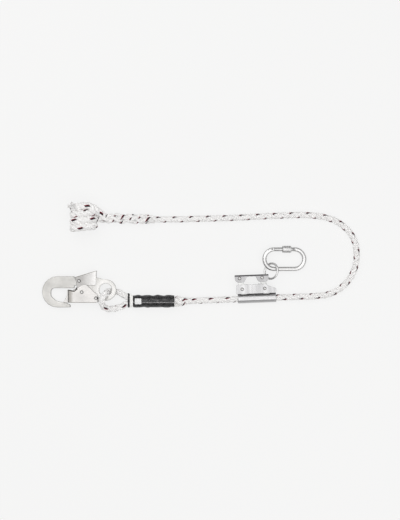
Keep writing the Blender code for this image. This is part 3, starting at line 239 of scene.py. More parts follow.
# Colours
TRACER_RED = (0.24, 0.008, 0.030)
TRACER_BLACK = (0.010, 0.009, 0.012)
# painted shade, in the gap beside the lever and round the rivet heads
GAP_SHADE = (0.045, 0.04, 0.04)
YARN_DULL = (0.91, 0.895, 0.885)
YARN_CLEAN = (0.955, 0.945, 0.938)
YARN_SLUB = (0.97, 0.962, 0.955)
YARN_DIRT = (0.82, 0.79, 0.75)
# painted shade in the grooves between the yarns
YARN_GROOVE_SHADE = (0.60, 0.585, 0.57)
# painted shade on the gate: in its seam, on its neck and along its foot
GATE_SEAM_SHADE = (0.05, 0.045, 0.04)
NECK_SHADE = (0.30, 0.285, 0.265)
FOOT_SHADE = (0.22, 0.20, 0.18)
# painted highlight over the hook's eye
EYE_HIGHLIGHT = (0.66, 0.65, 0.635)
# painted highlight towards the lever's heel
HEEL_HIGHLIGHT = (0.74, 0.73, 0.72)
# painted shade along the lever's top
TOP_SHADE = (0.20, 0.19, 0.17)
# painted reflections: upright pale and dark streaks on the plating
STREAK_REFLECTION_PALE = (0.84, 0.835, 0.84)
STREAK_REFLECTION_DARK = (0.45, 0.45, 0.455)
# darker grey for the bar's ears
EAR_DARKER = (0.46, 0.455, 0.46)
# painted dark reflection along the bar's fold
FOLD_DARK_REFLECTION = (0.085, 0.08, 0.085)
# painted shade along the channel's lip
LIP_SHADE = (0.10, 0.095, 0.10)
# faint painted shade on the channel's underside
LOW_SHADE = (0.44, 0.43, 0.435)
# painted shade on the cam's toe
TOE_SHADE = (0.07, 0.065, 0.065)
BOW_DARKER = (0.64, 0.635, 0.63)
SLEEVE_BLACK = (0.006, 0.006, 0.007)
# painted highlights: grey specks on the sleeve
SLEEVE_SPECK_HIGHLIGHT = (0.20, 0.19, 0.19)
# painted highlight along the sleeve's seam
SEAM_HIGHLIGHT = (0.42, 0.41, 0.41)


def on_run(station):
    x, y, z = RUN_PLACE
    return x + station * cos(RUN_TILT), y + station * sin(RUN_TILT), z


def ease(share):
    share = min(max(share, 0.0), 1.0)
    return share * share * (3 - 2 * share)


def mix(a, b, share):
    return a + (b - a) * min(max(share, 0.0), 1.0)


def wave(along, shape):
    """A wave of some depth and length."""
    depth, length = shape
    return depth * cos(2 * pi * along / length)


def smooth_route(points, spacing):
    """Even points on a smooth curve through the route's own points."""
    knots = [Vector(p) for p in points]
    knots = [2 * knots[0] - knots[1], *knots, 2 * knots[-1] - knots[-2]]
    fine = []
    steps = 24
    for a, b, c, d in zip(knots, knots[1:], knots[2:], knots[3:]):
        for k in range(steps):
            t = k / steps
            fine.append(0.5 * (
                2 * b + (c - a) * t + (2 * a - 5 * b + 4 * c - d) * t ** 2
                + (3 * b - a - 3 * c + d) * t ** 3
            ))
    fine.append(knots[-2])
    lengths = [0.0]
    for a, b in zip(fine, fine[1:]):
        lengths.append(lengths[-1] + (b - a).length)
    count = round(lengths[-1] / spacing)
    even, i = [], 0
    for k in range(count + 1):
        goal = lengths[-1] * k / count
        while i < len(fine) - 2 and lengths[i + 1] < goal:
            i += 1
        share = (goal - lengths[i]) / (lengths[i + 1] - lengths[i])
        even.append(fine[i].lerp(fine[i + 1], share))
    return even


def round_turns(count):
    return [2 * pi * k / count for k in range(count)]


def new_object(name, data):
    obj = bpy.data.objects.new(name, data)
    bpy.context.scene.collection.objects.link(obj)
    return obj


def heading(points, k):
    return (points[min(k + 1, len(points) - 1)] - points[max(k - 1, 0)]).normalized()


class Line:
    """Points with a right and an up that are carried along without twist."""

    def __init__(self, points, start=0.0):
        self.points = points
        self.along = [start]
        for a, b in zip(points, points[1:]):
            self.along.append(self.along[-1] + (b - a).length)
        up = Vector((0, 0, 1))
        self.ups = []
        self.rights = []
        for k in range(len(points)):
            tangent = heading(points, k)
            up = (up - tangent * up.dot(tangent)).normalized()
            self.ups.append(up)
            self.rights.append(tangent.cross(up))

    def part(self, start, end):
        piece = Line.__new__(Line)
        for name in ("points", "along", "ups", "rights"):
            setattr(piece, name, getattr(self, name)[start:end])
        return piece


class Skin:
    """Grids of points that become one mesh."""

    def __init__(self):
        self.points = []
        self.faces = []
        self.uvs = []
        self.slots = []

    def grid(self, rows, uvs=None, slot=0, caps=True, closed=True):
        base = len(self.points)
        count = len(rows[0])
        uvs = uvs or [[(0.5, 0.5)] * (count + 1)] * len(rows)
        for row in rows:
            self.points.extend(row)
        for i in range(len(rows) - 1):
            for k in range(count if closed else count - 1):
                n = (k + 1) % count
                low, high = base + i * count, base + (i + 1) * count
                self.faces.append((low + k, low + n, high + n, high + k))
                self.slots.append(slot)
                self.uvs.append((uvs[i][k], uvs[i][k + 1], uvs[i + 1][k + 1], uvs[i + 1][k]))
        if caps:
            last = base + (len(rows) - 1) * count
            for face in (range(base + count - 1, base - 1, -1), range(last, last + count)):
                self.faces.append(tuple(face))
                self.slots.append(slot)
                self.uvs.append(((0.5, 0.5),) * count)
        return self

    def piece(self, name, finishes, place=Matrix(), angle=50):
        mesh = bpy.data.meshes.new(name)
        mesh.from_pydata(self.points, [], self.faces)
        layer = mesh.uv_layers.new(name="UVMap")
        flat = [value for face in self.uvs for uv in face for value in uv]
        layer.data.foreach_set("uv", flat)
        for finish in finishes:
            mesh.materials.append(finish)
        mesh.polygons.foreach_set("material_index", self.slots)
        mesh.transform(place)
        bm = bmesh.new()
        bm.from_mesh(mesh)
        bmesh.ops.remove_doubles(bm, verts=bm.verts, dist=WELD_DISTANCE)
        bm.to_mesh(mesh)
        bm.free()
        mesh.shade_smooth()
        mesh.set_sharp_from_angle(angle=radians(angle))
        return new_object(name, mesh)


def settle(obj, body, slot, *replaced):
    """The piece rides on a body, for some nodes; the slot is not used."""
    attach(obj, body)
    if replaced:
        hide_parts(*replaced)
    return obj


# Materials


class Net:
    """A material's nodes."""

    def __init__(self, name, roughness=0.5, metallic=0.0):
        self.material = bpy.data.materials.new(name)
        self.material.use_nodes = True
        self.tree = self.material.node_tree
        self.shader = self.tree.nodes["Principled BSDF"]
        self.set(Roughness=roughness, Metallic=metallic)

    def node(self, kind, inputs=None, **settings):
        made = self.tree.nodes.new(f"ShaderNode{kind}")
        for key, value in settings.items():
            setattr(made, key, value)
        for key, value in (inputs or {}).items():
            self.put(value, made.inputs[key])
        return made

    def put(self, value, socket):
        """A link if the value is a socket, or else the value; colours have three parts."""
        if isinstance(value, bpy.types.NodeSocket):
            self.tree.links.new(value, socket)
        elif socket.type == "RGBA":
            socket.default_value = (*value, 1.0)
        else:
            socket.default_value = value

    def math(self, operation, a, b=0.0, c=0.0):
        return self.node("Math", {0: a, 1: b, 2: c}, operation=operation).outputs[0]

    def times(self, a, b):
        return self.math("MULTIPLY", a, b)

    def spread(self, value, low, high, to_low=0.0, to_high=1.0):
        inputs = {"Value": value, "From Min": low, "From Max": high, "To Min": to_low,
                  "To Max": to_high}
        return self.node("MapRange", inputs).outputs["Result"]

    def blend(self, share, a, b):
        return self.node("Mix", {0: share, 6: a, 7: b}, data_type="RGBA").outputs[2]

    def noise(self, where, scale, detail=3.0, stretch=None):
        if stretch is not None:
            where = self.node("Mapping", {"Vector": where, "Scale": stretch}).outputs[0]
        inputs = {"Vector": where, "Scale": scale, "Detail": detail}
        return self.node("TexNoise", inputs).outputs["Fac"]

    def places(self):
        return self.node("TexCoord").outputs["Object"]

    def bump(self, height, strength, distance, normal=None):
        inputs = {"Height": height, "Strength": strength, "Distance": distance}
        if normal is not None:
            inputs["Normal"] = normal
        return self.node("Bump", inputs).outputs["Normal"]

    def plan(self, frame):
        """Places in a frame's own X and Y."""
        inputs = {"Vector": self.places(), "Location": frame.translation,
                  "Rotation": frame.to_euler()}
        local = self.node("Mapping", inputs, vector_type="TEXTURE").outputs[0]
        return self.vector("MULTIPLY", {0: local, 1: (1, 1, 0)})

    def vector(self, operation, inputs, output="Vector"):
        return self.node("VectorMath", inputs, operation=operation).outputs[output]

    def near(self, where, start, end, core, fade):
        """One near the line from start to end, falling to nothing at fade."""
        start, end = Vector((*start, 0)), Vector((*end, 0))
        along = end - start
        away = self.vector("SUBTRACT", {0: where, 1: start})
        share = self.vector("DOT_PRODUCT", {0: away, 1: along / along.length_squared}, "Value")
        foot = self.vector("SCALE", {0: along, "Scale": self.spread(share, 0.0, 1.0)})
        apart = self.vector("DISTANCE", {0: away, 1: foot}, "Value")
        return self.spread(apart, core, fade, 1.0, 0.0)

    def axis(self, where, name):
        return self.node("SeparateXYZ", {"Vector": where}).outputs[name]

    def set(self, **links):
        for key, value in links.items():
            self.put(value, self.shader.inputs[key.replace("_", " ")])
        return self.material


def rope_finish(name, tracers):
    """Laid yarns from the strand's own U, some of them coloured tracers, with painted shade in
    the grooves between the yarns.
    """
    net = Net(name, 0.8)
    uv = net.node("UVMap", uv_map="UVMap").outputs["UV"]
    across = net.axis(uv, "X")
    ridge = net.math("SINE", net.times(net.math("FRACT", across), pi))
    ridge = net.math("POWER", ridge, 0.6)
    yarn = net.math("FLOORED_MODULO", net.math("FLOOR", across), float(YARNS))
    fibres = net.noise(uv, 3.0, 4.0, (9.0, 0.9, 1.0))
    slubs = net.noise(uv, 1.0, 2.0, (1.0, 0.35, 1.0))
    dirt = net.noise(net.places(), 24.0, 3.0)
    pale = net.blend(net.spread(fibres, 0.3, 0.7), YARN_DULL, YARN_CLEAN)
    pale = net.blend(net.spread(slubs, 0.4, 0.7, 0.0, 0.35), pale, YARN_SLUB)
    pale = net.blend(net.spread(dirt, 0.5, 0.75, 0.0, 0.10), pale, YARN_DIRT)
    # painted shade: darker in the grooves between the yarns
    colour = net.blend(net.spread(ridge, 0.0, 0.6, 0.20, 0.0), pale, YARN_GROOVE_SHADE)
    for place, tint in tracers:
        here = net.math("COMPARE", yarn, place, 0.4)
        worn = net.times(here, net.spread(fibres, 0.25, 0.4, 0.85, 1.0))
        colour = net.blend(worn, colour, tint)
    normal = net.bump(ridge, 0.9, 0.0006)
    normal = net.bump(fibres, 0.5, 0.0002, normal)
    net.set(Sheen_Weight=0.12, Specular_IOR_Level=0.3)
    rough = net.spread(slubs, 0.3, 0.7, 0.88, 0.68)
    return net.set(Base_Color=colour, Normal=normal, Roughness=rough)


def metal_finish(name, colour, rough, painted_tones=None, grain=0.00006, brushed=None, edge=0.5,
                 dull=0.25, sides=0.5):
    """Plated or forged metal: grain, soft stains, and painted shade on its edges and on the sides
    that face away from up.
    """
    net = Net(name, rough, 1.0)
    where = net.places()
    stains = net.noise(where, 38.0, 5.0)
    fine = net.noise(where, 2600.0, 3.0, brushed)
    speck = net.noise(where, 900.0, 2.0)
    darker = tuple(c * (1 - dull) for c in colour)
    tone = net.blend(net.spread(stains, 0.35, 0.7), colour, darker)
    tone = net.blend(net.spread(speck, 0.62, 0.75, 0.0, 0.35), tone, darker)
    # painted shade: convex edges darker
    rim = net.spread(net.node("NewGeometry").outputs["Pointiness"], 0.51, 0.57, 0.0, edge)
    tone = net.blend(rim, tone, tuple(c * 0.35 for c in colour))
    # painted shade: surfaces that face away from up darker
    facing = net.axis(net.node("TexCoord").outputs["Normal"], "Z")
    tone = net.blend(net.spread(facing, 0.35, 0.85, sides, 0.0), tone,
                     tuple(c * 0.40 for c in colour))
    # painted shade, highlights and reflections, and darker tones, from the given function
    if painted_tones is not None:
        tone = painted_tones(net, tone)
    level = net.math("ADD", net.spread(stains, 0.3, 0.7, rough * 0.85, rough * 1.2),
                     net.spread(fine, 0.3, 0.7, -0.04, 0.06))
    normal = net.bump(fine, 0.6, grain)
    return net.set(Base_Color=tone, Roughness=level, Normal=normal)


def lined(net, tone, plan, line, dark, core=0.0008, fade=0.0017):
    """Painted shade in a seam, along each pair of neighbouring points of a line."""
    for start, end in zip(line, line[1:]):
        tone = net.blend(net.near(plan, start, end, core, fade), tone, dark)
    return tone


def gate_painted_shade(net, tone):
    """Painted shade: a darker neck, a dark line where the gate's upper edge meets the shank, and
    one along its foot.
    """
    plan = net.plan(HOOK)
    across = net.axis(plan, "X")
    neck = net.times(net.spread(across, -0.0925, -0.0885),
                     net.spread(across, -0.0845, -0.0785, 1.0, 0.0))
    tone = net.blend(net.times(neck, 0.9), tone, NECK_SHADE)
    tone = lined(net, tone, plan, GATE_SEAM, GATE_SEAM_SHADE)
    return lined(net, tone, plan, GATE_FOOT, FOOT_SHADE, 0.0003, 0.0012)


def eye_painted_highlight(net, tone):
    """A painted highlight over the hook's eye."""
    lit = net.near(net.plan(HOOK), *EYE_MIDDLE, 0.021, 0.032)
    return net.blend(lit, tone, EYE_HIGHLIGHT)


def lever_painted_light(net, tone):
    """Painted shade along the lever's front and top, and a painted highlight that brightens it
    towards its heel.
    """
    plan = net.plan(HOOK)
    heel = net.spread(net.axis(plan, "X"), -0.056, -0.018)
    tone = net.blend(heel, tone, HEEL_HIGHLIGHT)
    tone = lined(net, tone, plan, LEVER_SEAM, GAP_SHADE)
    return lined(net, tone, plan, LEVER_TOP, TOP_SHADE, 0.0004, 0.0014)


def plate_reflections(net, tone):
    """Upright pale and dark streaks across the plating, painted reflections."""
    plan = net.plan(ADJUSTER)
    streaks = net.noise(plan, 1.0, 3.0, (75.0, 4.0, 1.0))
    tone = net.blend(net.spread(streaks, 0.44, 0.62, 0.0, 0.6), tone, STREAK_REFLECTION_PALE)
    return net.blend(net.spread(streaks, 0.30, 0.42, 0.30, 0.0), tone, STREAK_REFLECTION_DARK)


def bar_reflections_and_ears(net, tone):
    """The bar's painted reflections, its ears darker grey, and a painted dark reflection along
    the fold at its top.
    """
    plan = net.plan(ADJUSTER)
    tone = plate_reflections(net, tone)
    for start, end in BAR_EARS:
        ear = net.near(plan, start, end, 0.0075, 0.0105)
        tone = net.blend(net.times(ear, 0.8), tone, EAR_DARKER)
    # painted dark reflection along the fold
    fold = net.spread(net.axis(plan, "Y"), 0.0536, 0.0550)
    return net.blend(fold, tone, FOLD_DARK_REFLECTION)


def channel_painted_shade(net, tone):
    """Painted shade along the channel's lip and its underside."""
    plan = net.plan(ADJUSTER)
    across = net.axis(plan, "Y")
    tone = net.blend(net.spread(across, 0.0083, 0.0086), tone, LIP_SHADE)
    low = net.times(net.spread(across, -0.0036, -0.0046), net.spread(across, -0.0094, -0.0086))
    return net.blend(net.times(low, 0.1), tone, LOW_SHADE)


def cam_toe_shade(net, tone):
    """Painted shade on the cam's toe."""
    across = net.axis(net.plan(ADJUSTER), "Y")
    return net.blend(net.spread(across, 0.0104, 0.0114, 1.0, 0.0), tone, TOE_SHADE)


def bow_darker_side(net, tone):
    """The carabiner's bar, darker grey along its straight side."""
    flat = net.near(net.plan(CARABINER), *DARKER_SIDE, 0.0042, 0.0052)
    return net.blend(net.times(flat, 0.8), tone, BOW_DARKER)


def rivet_ring_shade(net, tone):
    """A ring of painted shade on a rivet head's outer part, by the head's own radius in U."""
    uv = net.node("UVMap", uv_map="UVMap").outputs["UV"]
    share = net.axis(uv, "X")
    ring = net.times(net.spread(share, 0.62, 0.72), net.spread(share, 0.97, 1.05, 1.0, 0.6))
    return net.blend(ring, tone, GAP_SHADE)


def sleeve_finish(name):
    """Shrunk glossy black plastic with a pebbled skin, grey specks that are painted highlights,
    and a painted highlight along its seam.
    """
    net = Net(name, 0.3)
    where = net.places()
    pebbles = net.noise(where, 420.0, 3.0)
    broad = net.noise(where, 110.0, 3.0)
    specks = net.noise(where, 700.0, 5.0)
    colour = net.blend(net.spread(specks, 0.57, 0.70, 0.0, 0.8), SLEEVE_BLACK, SLEEVE_SPECK_HIGHLIGHT)
    # painted highlight along the seam
    seam = net.math("ABSOLUTE", net.math("SUBTRACT", net.axis(where, "Y"), SEAM_PLACE))
    seam = net.times(net.spread(seam, 0.0003, 0.0014, 1.0, 0.0),
                     net.spread(net.axis(where, "Z"), 0.020, 0.024))
    seam = net.times(seam, net.spread(specks, 0.42, 0.56))
    colour = net.blend(seam, colour, SEAM_HIGHLIGHT)
    normal = net.bump(pebbles, 0.7, 0.0005)
    normal = net.bump(broad, 0.6, 0.0010, normal)
    rough = net.spread(broad, 0.35, 0.7, 0.20, 0.42)
    return net.set(Base_Color=colour, Normal=normal, Roughness=rough)


def plain_finish(name, colour, second, rough, scale, depth):
    """Thread or paper in two tones, finely grained."""
    net = Net(name, rough)
    where = net.places()
    broad = net.noise(where, scale, 4.0)
    fine = net.noise(where, scale * 12, 2.0)
    tone = net.blend(net.spread(broad, 0.4, 0.72), colour, second)
    level = net.spread(fine, 0.3, 0.7, rough * 0.85, rough * 1.15)
    return net.set(Base_Color=tone, Normal=net.bump(fine, 0.6, depth), Roughness=level)


# Yarns that are coloured, counted round the strand
BOLD_TRACER = ((10.0, TRACER_BLACK), (11.0, TRACER_BLACK), (0.0, TRACER_RED))
ROPE = rope_finish("rope_yarns", ())
BOLD = rope_finish("rope_bold_tracer", BOLD_TRACER)
SLEEVE = sleeve_finish("shrunk_sleeve")
TAPE = plain_finish("whipping_thread", (0.97, 0.965, 0.95), (0.90, 0.89, 0.86), 0.5, 60.0, 0.0002)
LABEL = plain_finish("bare_label", (0.80, 0.80, 0.80), (0.74, 0.74, 0.735), 0.4, 90.0, 0.00006)
FOLDED = {"brushed": (1, 8, 8), "edge": 0.8}
PRESSED = {"grain": 0.00003, "brushed": (1, 10, 10), "edge": 0.9, "dull": 0.12}
DRAWN = {"grain": 0.00003, "dull": 0.12, "sides": 0.45}
ZINC = metal_finish("zinc_forging", (0.55, 0.54, 0.52), 0.42, eye_painted_highlight, 0.00012, edge=0.8,
                    dull=0.12)
GATE = metal_finish("gate_plating", (0.60, 0.585, 0.57), 0.34, gate_painted_shade, dull=0.10, **FOLDED)
LEVER = metal_finish("lever_plating", (0.41, 0.40, 0.39), 0.36, lever_painted_light, dull=0.18, **FOLDED)
PLATE = metal_finish("bright_plating", (0.62, 0.615, 0.62), 0.24, plate_reflections, **PRESSED)
BAR = metal_finish("bar_plating", (0.52, 0.515, 0.52), 0.24, bar_reflections_and_ears, **PRESSED)
CHANNEL = metal_finish("channel_plating", (0.65, 0.645, 0.65), 0.32, channel_painted_shade, **PRESSED)
CAM = metal_finish("cam_steel", (0.86, 0.86, 0.85), 0.36, cam_toe_shade, 0.00010, edge=0.9)
STAINLESS = metal_finish("stainless", (0.77, 0.765, 0.76), 0.34, **DRAWN)
BOW = metal_finish("bow_steel", (0.77, 0.765, 0.76), 0.34, bow_darker_side, **DRAWN)
KNURL = metal_finish("knurled_steel", (0.76, 0.755, 0.75), 0.48, None, 0.00003, edge=0.4,
                     dull=0.10, sides=0.35)
RIVET = metal_finish("rivet_steel", (0.78, 0.77, 0.755), 0.30, rivet_ring_shade, 0.00005, edge=0.6,
                     dull=0.15)
PIN = metal_finish("pin_steel", (0.50, 0.50, 0.49), 0.30, None, 0.00005)
SPRING = metal_finish("spring_steel", (0.16, 0.16, 0.165), 0.30, None, 0.00003)


# Camera


def set_camera():
    data = bpy.data.cameras.new("camera")
    data.sensor_fit = "VERTICAL"
    data.sensor_height = SENSOR_HEIGHT
    data.lens = SENSOR_HEIGHT * CAMERA_HEIGHT / (IMAGE_HEIGHT * METRES_PER_PIXEL)
    data.clip_end = 50.0
    camera = new_object("camera", data)
    camera.location = (*IMAGE_MIDDLE, CAMERA_HEIGHT)
    bpy.context.scene.camera = camera


# Rope


def strand(skin, line, angles, reach, radii, slot, phases, rate):
    """One strand round a line, from its angle, distance and radius at each station."""
    outs = [right * sin(angle) + up * cos(angle)
            for right, up, angle in zip(line.rights, line.ups, angles)]
    centres = [point + out * far for point, out, far in zip(line.points, outs, reach)]
    outward, sideways = STRAND_SQUASH
    turns = round_turns(STRAND_SIDES)
    rows, uvs = [], []
    for k, centre in enumerate(centres):
        tangent = heading(centres, k)
        out = (outs[k] - tangent * outs[k].dot(tangent)).normalized()
        side = tangent.cross(out)
        rows.append([centre + (out * (cos(turn) * outward) + side * (sin(turn) * sideways))
                     * radii[k] for turn in turns])
        wound = angles[k] + YARN_RATE * rate * line.along[k] - phases[k]
        uvs.append([((turn + wound) * YARNS / (2 * pi), line.along[k] / YARN_LENGTH)
                    for turn in (*turns, 2 * pi)])
    skin.grid(rows, uvs, slot)


def lay_rope(skin, line, sizes, lay, angle, place, slots, twist=None):
    """Three strands; the first one's tracer faces angle at place."""
    rate = 2 * pi / lay
    phase = angle + YARN_RATE * rate * place
    reach = [size * STRAND_REACH for size in sizes]
    radii = [size * STRAND_SIZE for size in sizes]
    twists = [twist(along) if twist else (0.0, 0.0) for along in line.along]
    yarns = [phase + yarn for _, yarn in twists]
    for i, slot in enumerate(slots):
        angles = []
        for along, (strands, _) in zip(line.along, twists):
            angles.append(angle + rate * (along - place) + strands + i * 2 * pi / 3)
        strand(skin, line, angles, reach, radii, slot, yarns, rate)


def laid(skin, name, node):
    """The strands as one piece, in the place of a node of the rope."""
    return settle(skin.piece(name, [ROPE, BOLD]), "lanyard_rope", "rope_white", node)


def tail_point(along):
    """The middle of the back splice, at a distance from the plain rope."""
    x, y, z = FREE_ROUTE[-1]
    height = mix(z, BACK_SPLICE_HEIGHT, ease(along / BACK_SPLICE_RISE))
    return Vector((x + along * cos(BACK_SPLICE_HEADING),
                   y + along * sin(BACK_SPLICE_HEADING), height))


def make_rope():
    """The rope, and its core that runs on through the back splice."""
    route = [on_run(s) for s in RUN_STATIONS] + FREE_ROUTE
    points = smooth_route(route, STATION)
    first = points[0] + (points[0] - points[1]).normalized() * ROPE_LEAD
    free = len(points)
    count = round(CORE_LENGTH / STATION)
    points += [tail_point(CORE_LENGTH * (k + 1) / count) for k in range(count)]
    line = Line([first, *points], -ROPE_LEAD)
    length = line.along[free]
    sizes = [mix(ROPE_RADIUS, CORE_RADIUS, ease((along - length) / CORE_TAPER))
             for along in line.along]
    skin = Skin()
    end, fade = TWIST_END

    def twist(along):
        short = 1 - ease((along - end) / fade)
        return RUN_TWIST * short, YARN_TWIST * short

    lay_rope(skin, line, sizes, LAY, TRACER_ANGLE, TRACER_PLACE, (1, 0, 0), twist)
    return laid(skin, "rope_strands", "rope"), points, length


def make_eye():
    """The eye, laid in two parts, of which only the second shows the tracer."""
    middle = Vector(HOOK_EYE)
    x, y = SPLICE_START
    deep, across, high = EYE_LEG
    inside = [Vector((x + deep, y + side * across, high)) for side in (1, -1)]
    route = [inside[0], *(middle + Vector(p) for p in EYE_ROUTE), inside[1]]
    line = Line(smooth_route(route, STATION))
    skin = Skin()
    end = line.along[-1]
    thinner, near_end, over = EYE_TAPER
    sizes = [ROPE_RADIUS - thinner * ease((abs(along - end / 2) - end / 2 + near_end) / over)
             for along in line.along]
    cut = next(k for k, along in enumerate(line.along) if along > end - EYE_TRACED)
    for first, last, slots in ((0, cut + 1, (0, 0, 0)), (cut, len(sizes), (1, 0, 0))):
        lay_rope(skin, line.part(first, last), sizes[first:last], EYE_LAY, EYE_TRACER_ANGLE,
                 end - EYE_TRACER_PLACE, slots)
    laid(skin, "eye_strands", "rope_eye")


def weave(skin, line, sizes, grown, angle, start, traced):
    """Three laid strands with three more tucked over and under them.

    The tracer shows on the first strand of each kind, or on all that are tucked if traced is 3.
    """
    rate = 2 * pi / LAY
    base, tucked, swings = [], [], []
    turn, tuck = angle, angle
    for k, full in enumerate(grown):
        if k:
            step = line.along[k] - line.along[k - 1]
            turn += step * mix(rate, BASE_RATE, full)
            tuck += step * TUCK_RATE
        base.append(turn)
        tucked.append(tuck)
        swings.append(cos(1.5 * (turn - tuck)))
    phase = angle + YARN_RATE * rate * start
    for kind, angles, sign in ((0, base, -1), (1, tucked, 1)):
        reach, radii = [], []
        for k, full in enumerate(grown):
            share = mix(STRAND_REACH, WEAVE_MIDDLE + sign * WEAVE_SWING * swings[k], full)
            reach.append(sizes[k] * share)
            thin = STRAND_SIZE if kind == 0 else TUCK_SIZE
            radii.append(sizes[k] * mix(thin, WEAVE_SIZE, full))
        kept = [k for k, full in enumerate(grown) if kind == 0 or full > TUCK_CUT]
        piece = line.part(kept[0], kept[-1] + 1)
        for i in range(3):
            spun = [angles[k] + i * 2 * pi / 3 for k in kept]
            strand(skin, piece, spun, [reach[k] for k in kept], [radii[k] for k in kept],
                   1 if i < traced and (kind or traced == 1) else 0, [phase] * len(kept), rate)
    return base, tucked, swings


def splice_section(along):
    """Middle and half sizes of the eye splice at a distance from the crotch."""
    x, y = SPLICE_START
    gathered = ease(along / TAPE_END)
    radius = SPLICE_RADIUS + wave(along, SPLICE_WAVE) * gathered
    width = mix(CROTCH[0], radius, gathered)
    height = mix(CROTCH[1], radius, gathered)
    z = mix(CROTCH[2], SPLICE_HEIGHT, gathered)
    middle = y - SPLICE_SHIFT * SPLICE_RADIUS * gathered
    tail = along - SLEEVE_END
    if tail > 0:
        length = SPLICE_LENGTH - SLEEVE_END
        opened = ease(tail / (length / 5))
        closed = ease((tail - length / 4) / (length * 3 / 4))
        width = mix(mix(radius, TAIL_RADIUS, opened), ROPE_RADIUS, closed)
        height = width
        z = mix(SPLICE_HEIGHT, RUN_PLACE[2], closed)
        middle = mix(middle, on_run(RUN_STATIONS[0])[1], closed)
    return Vector((x + along, middle, z)), width, height


def make_eye_splice():
    hidden = TAPE_END + 0.001
    count = round((SPLICE_LENGTH - hidden) / WEAVE_STATION)
    stations = [mix(hidden, SPLICE_LENGTH, k / count) for k in range(count + 1)]
    sections = [splice_section(s) for s in stations]
    line = Line([middle for middle, _, _ in sections], hidden - SPLICE_LENGTH)
    sizes = [width for _, width, _ in sections]
    thins = SPLICE_LENGTH - SLEEVE_END - SPLICE_BLEND
    grown = [1 - ease((s - SLEEVE_END - SPLICE_BLEND) / thins) for s in stations]
    skin = Skin()
    angles = weave(skin, line, sizes, grown, TRACER_ANGLE + RUN_TWIST, 0.0, 1)
    laid(skin, "eye_splice_strands", "eye_splice")
    return stations, angles


def around(centre, turn, width, height):
    return centre + Vector((0, -sin(turn) * width, cos(turn) * height))


def make_shells(stations, angles):
    """The sleeve with the strands' lumps and its seam, the collar and the whipping."""
    base, tucked, swings = angles

    def lump(along, turn):
        k = min(range(len(stations)), key=lambda n: abs(stations[n] - along))
        swing = swings[k]
        over = tucked[k] if swing > 0 else base[k]
        labelled = LABEL_SPAN[0] < along < LABEL_SPAN[1] and cos(turn) > LABEL_EDGE
        return 0.0 if labelled else SLEEVE_LUMP * abs(swing) * cos(3 * (turn - over))

    def shell(name, start, end, finish, slot, rise, seam=None, *, wall, step):
        count = round((end - start) / step)
        turns = {round(2 * pi * k / SHELL_SIDES, 4) for k in range(SHELL_SIDES)}
        if seam is not None:
            turns = {turn for turn in turns if abs(turn - seam) > SEAM_CLEAR}
            turns |= {seam + offset for offset in SEAM_TURNS}
        turns = sorted(turns)
        rows = []
        for k in range(count + 1):
            along = start + (end - start) * k / count
            centre, width, height = splice_section(along)
            lip = min(along - start, end - along) / SHELL_ROUND
            full = sqrt(max(0.0, 1 - (1 - min(lip, 1.0)) ** 2))
            row = []
            for turn in turns:
                grow = SHELL_GAP + wall * (0.25 + 0.75 * full) + rise(along, turn) * full
                if seam is not None and not LABEL_SPAN[0] < along < LABEL_SPAN[1]:
                    grow += SEAM_HEIGHT * exp(-((turn - seam) / SEAM_WIDTH) ** 2) * full
                row.append(around(centre, turn, width + grow, height + grow))
            rows.append(row)
        for along in (end, start):
            centre, width, height = splice_section(along)
            rows.append([around(centre, turn, width + SHELL_BORE, height + SHELL_BORE)
                         for turn in turns])
        skin = Skin().grid([*rows, rows[0]], caps=False)
        node = name.rsplit("_", 1)[0]
        settle(skin.piece(name, [finish], angle=60), "lanyard_rope", slot, node)

    shell("splice_sleeve_skin", TAPE_END, SLEEVE_END, SLEEVE, "sleeve_black", lump,
          SLEEVE_SEAM, wall=0.0009, step=0.0012)
    shell("sleeve_collar_skin", 0.0, COLLAR_END - SHELL_GAP, SLEEVE, "sleeve_black",
          lambda along, turn: COLLAR_OVAL * cos(2 * turn), wall=0.0013, step=0.00035)
    shell("whipping_tape_skin", COLLAR_END, TAPE_END - SHELL_GAP, TAPE, "tape_white",
          lambda along, turn: -wave(along, WHIPPING_TURNS), wall=0.0008, step=0.00022)


def make_back_splice(length):
    """The rope's own strands, tucked back from its end; length is where they start."""
    count = round(BACK_SPLICE_LENGTH / WEAVE_STATION)
    points, sizes, grown = [], [], []
    for k in range(count + 1):
        along = BACK_SPLICE_LENGTH * k / count
        full = ease(along / BACK_SPLICE_RISE)
        radius = mix(ROPE_RADIUS, BACK_SPLICE_RADIUS, full)
        radius += wave(along, BACK_SPLICE_WAVE) * full
        points.append(tail_point(along))
        sizes.append(radius)
        grown.append(ease(along / BACK_SPLICE_GROWTH))
    skin = Skin()
    angle = TRACER_ANGLE + 2 * pi / LAY * (length - TRACER_PLACE)
    weave(skin, Line(points, length), sizes, grown, angle, length, 3)
    return laid(skin, "back_splice_strands", "back_splice")


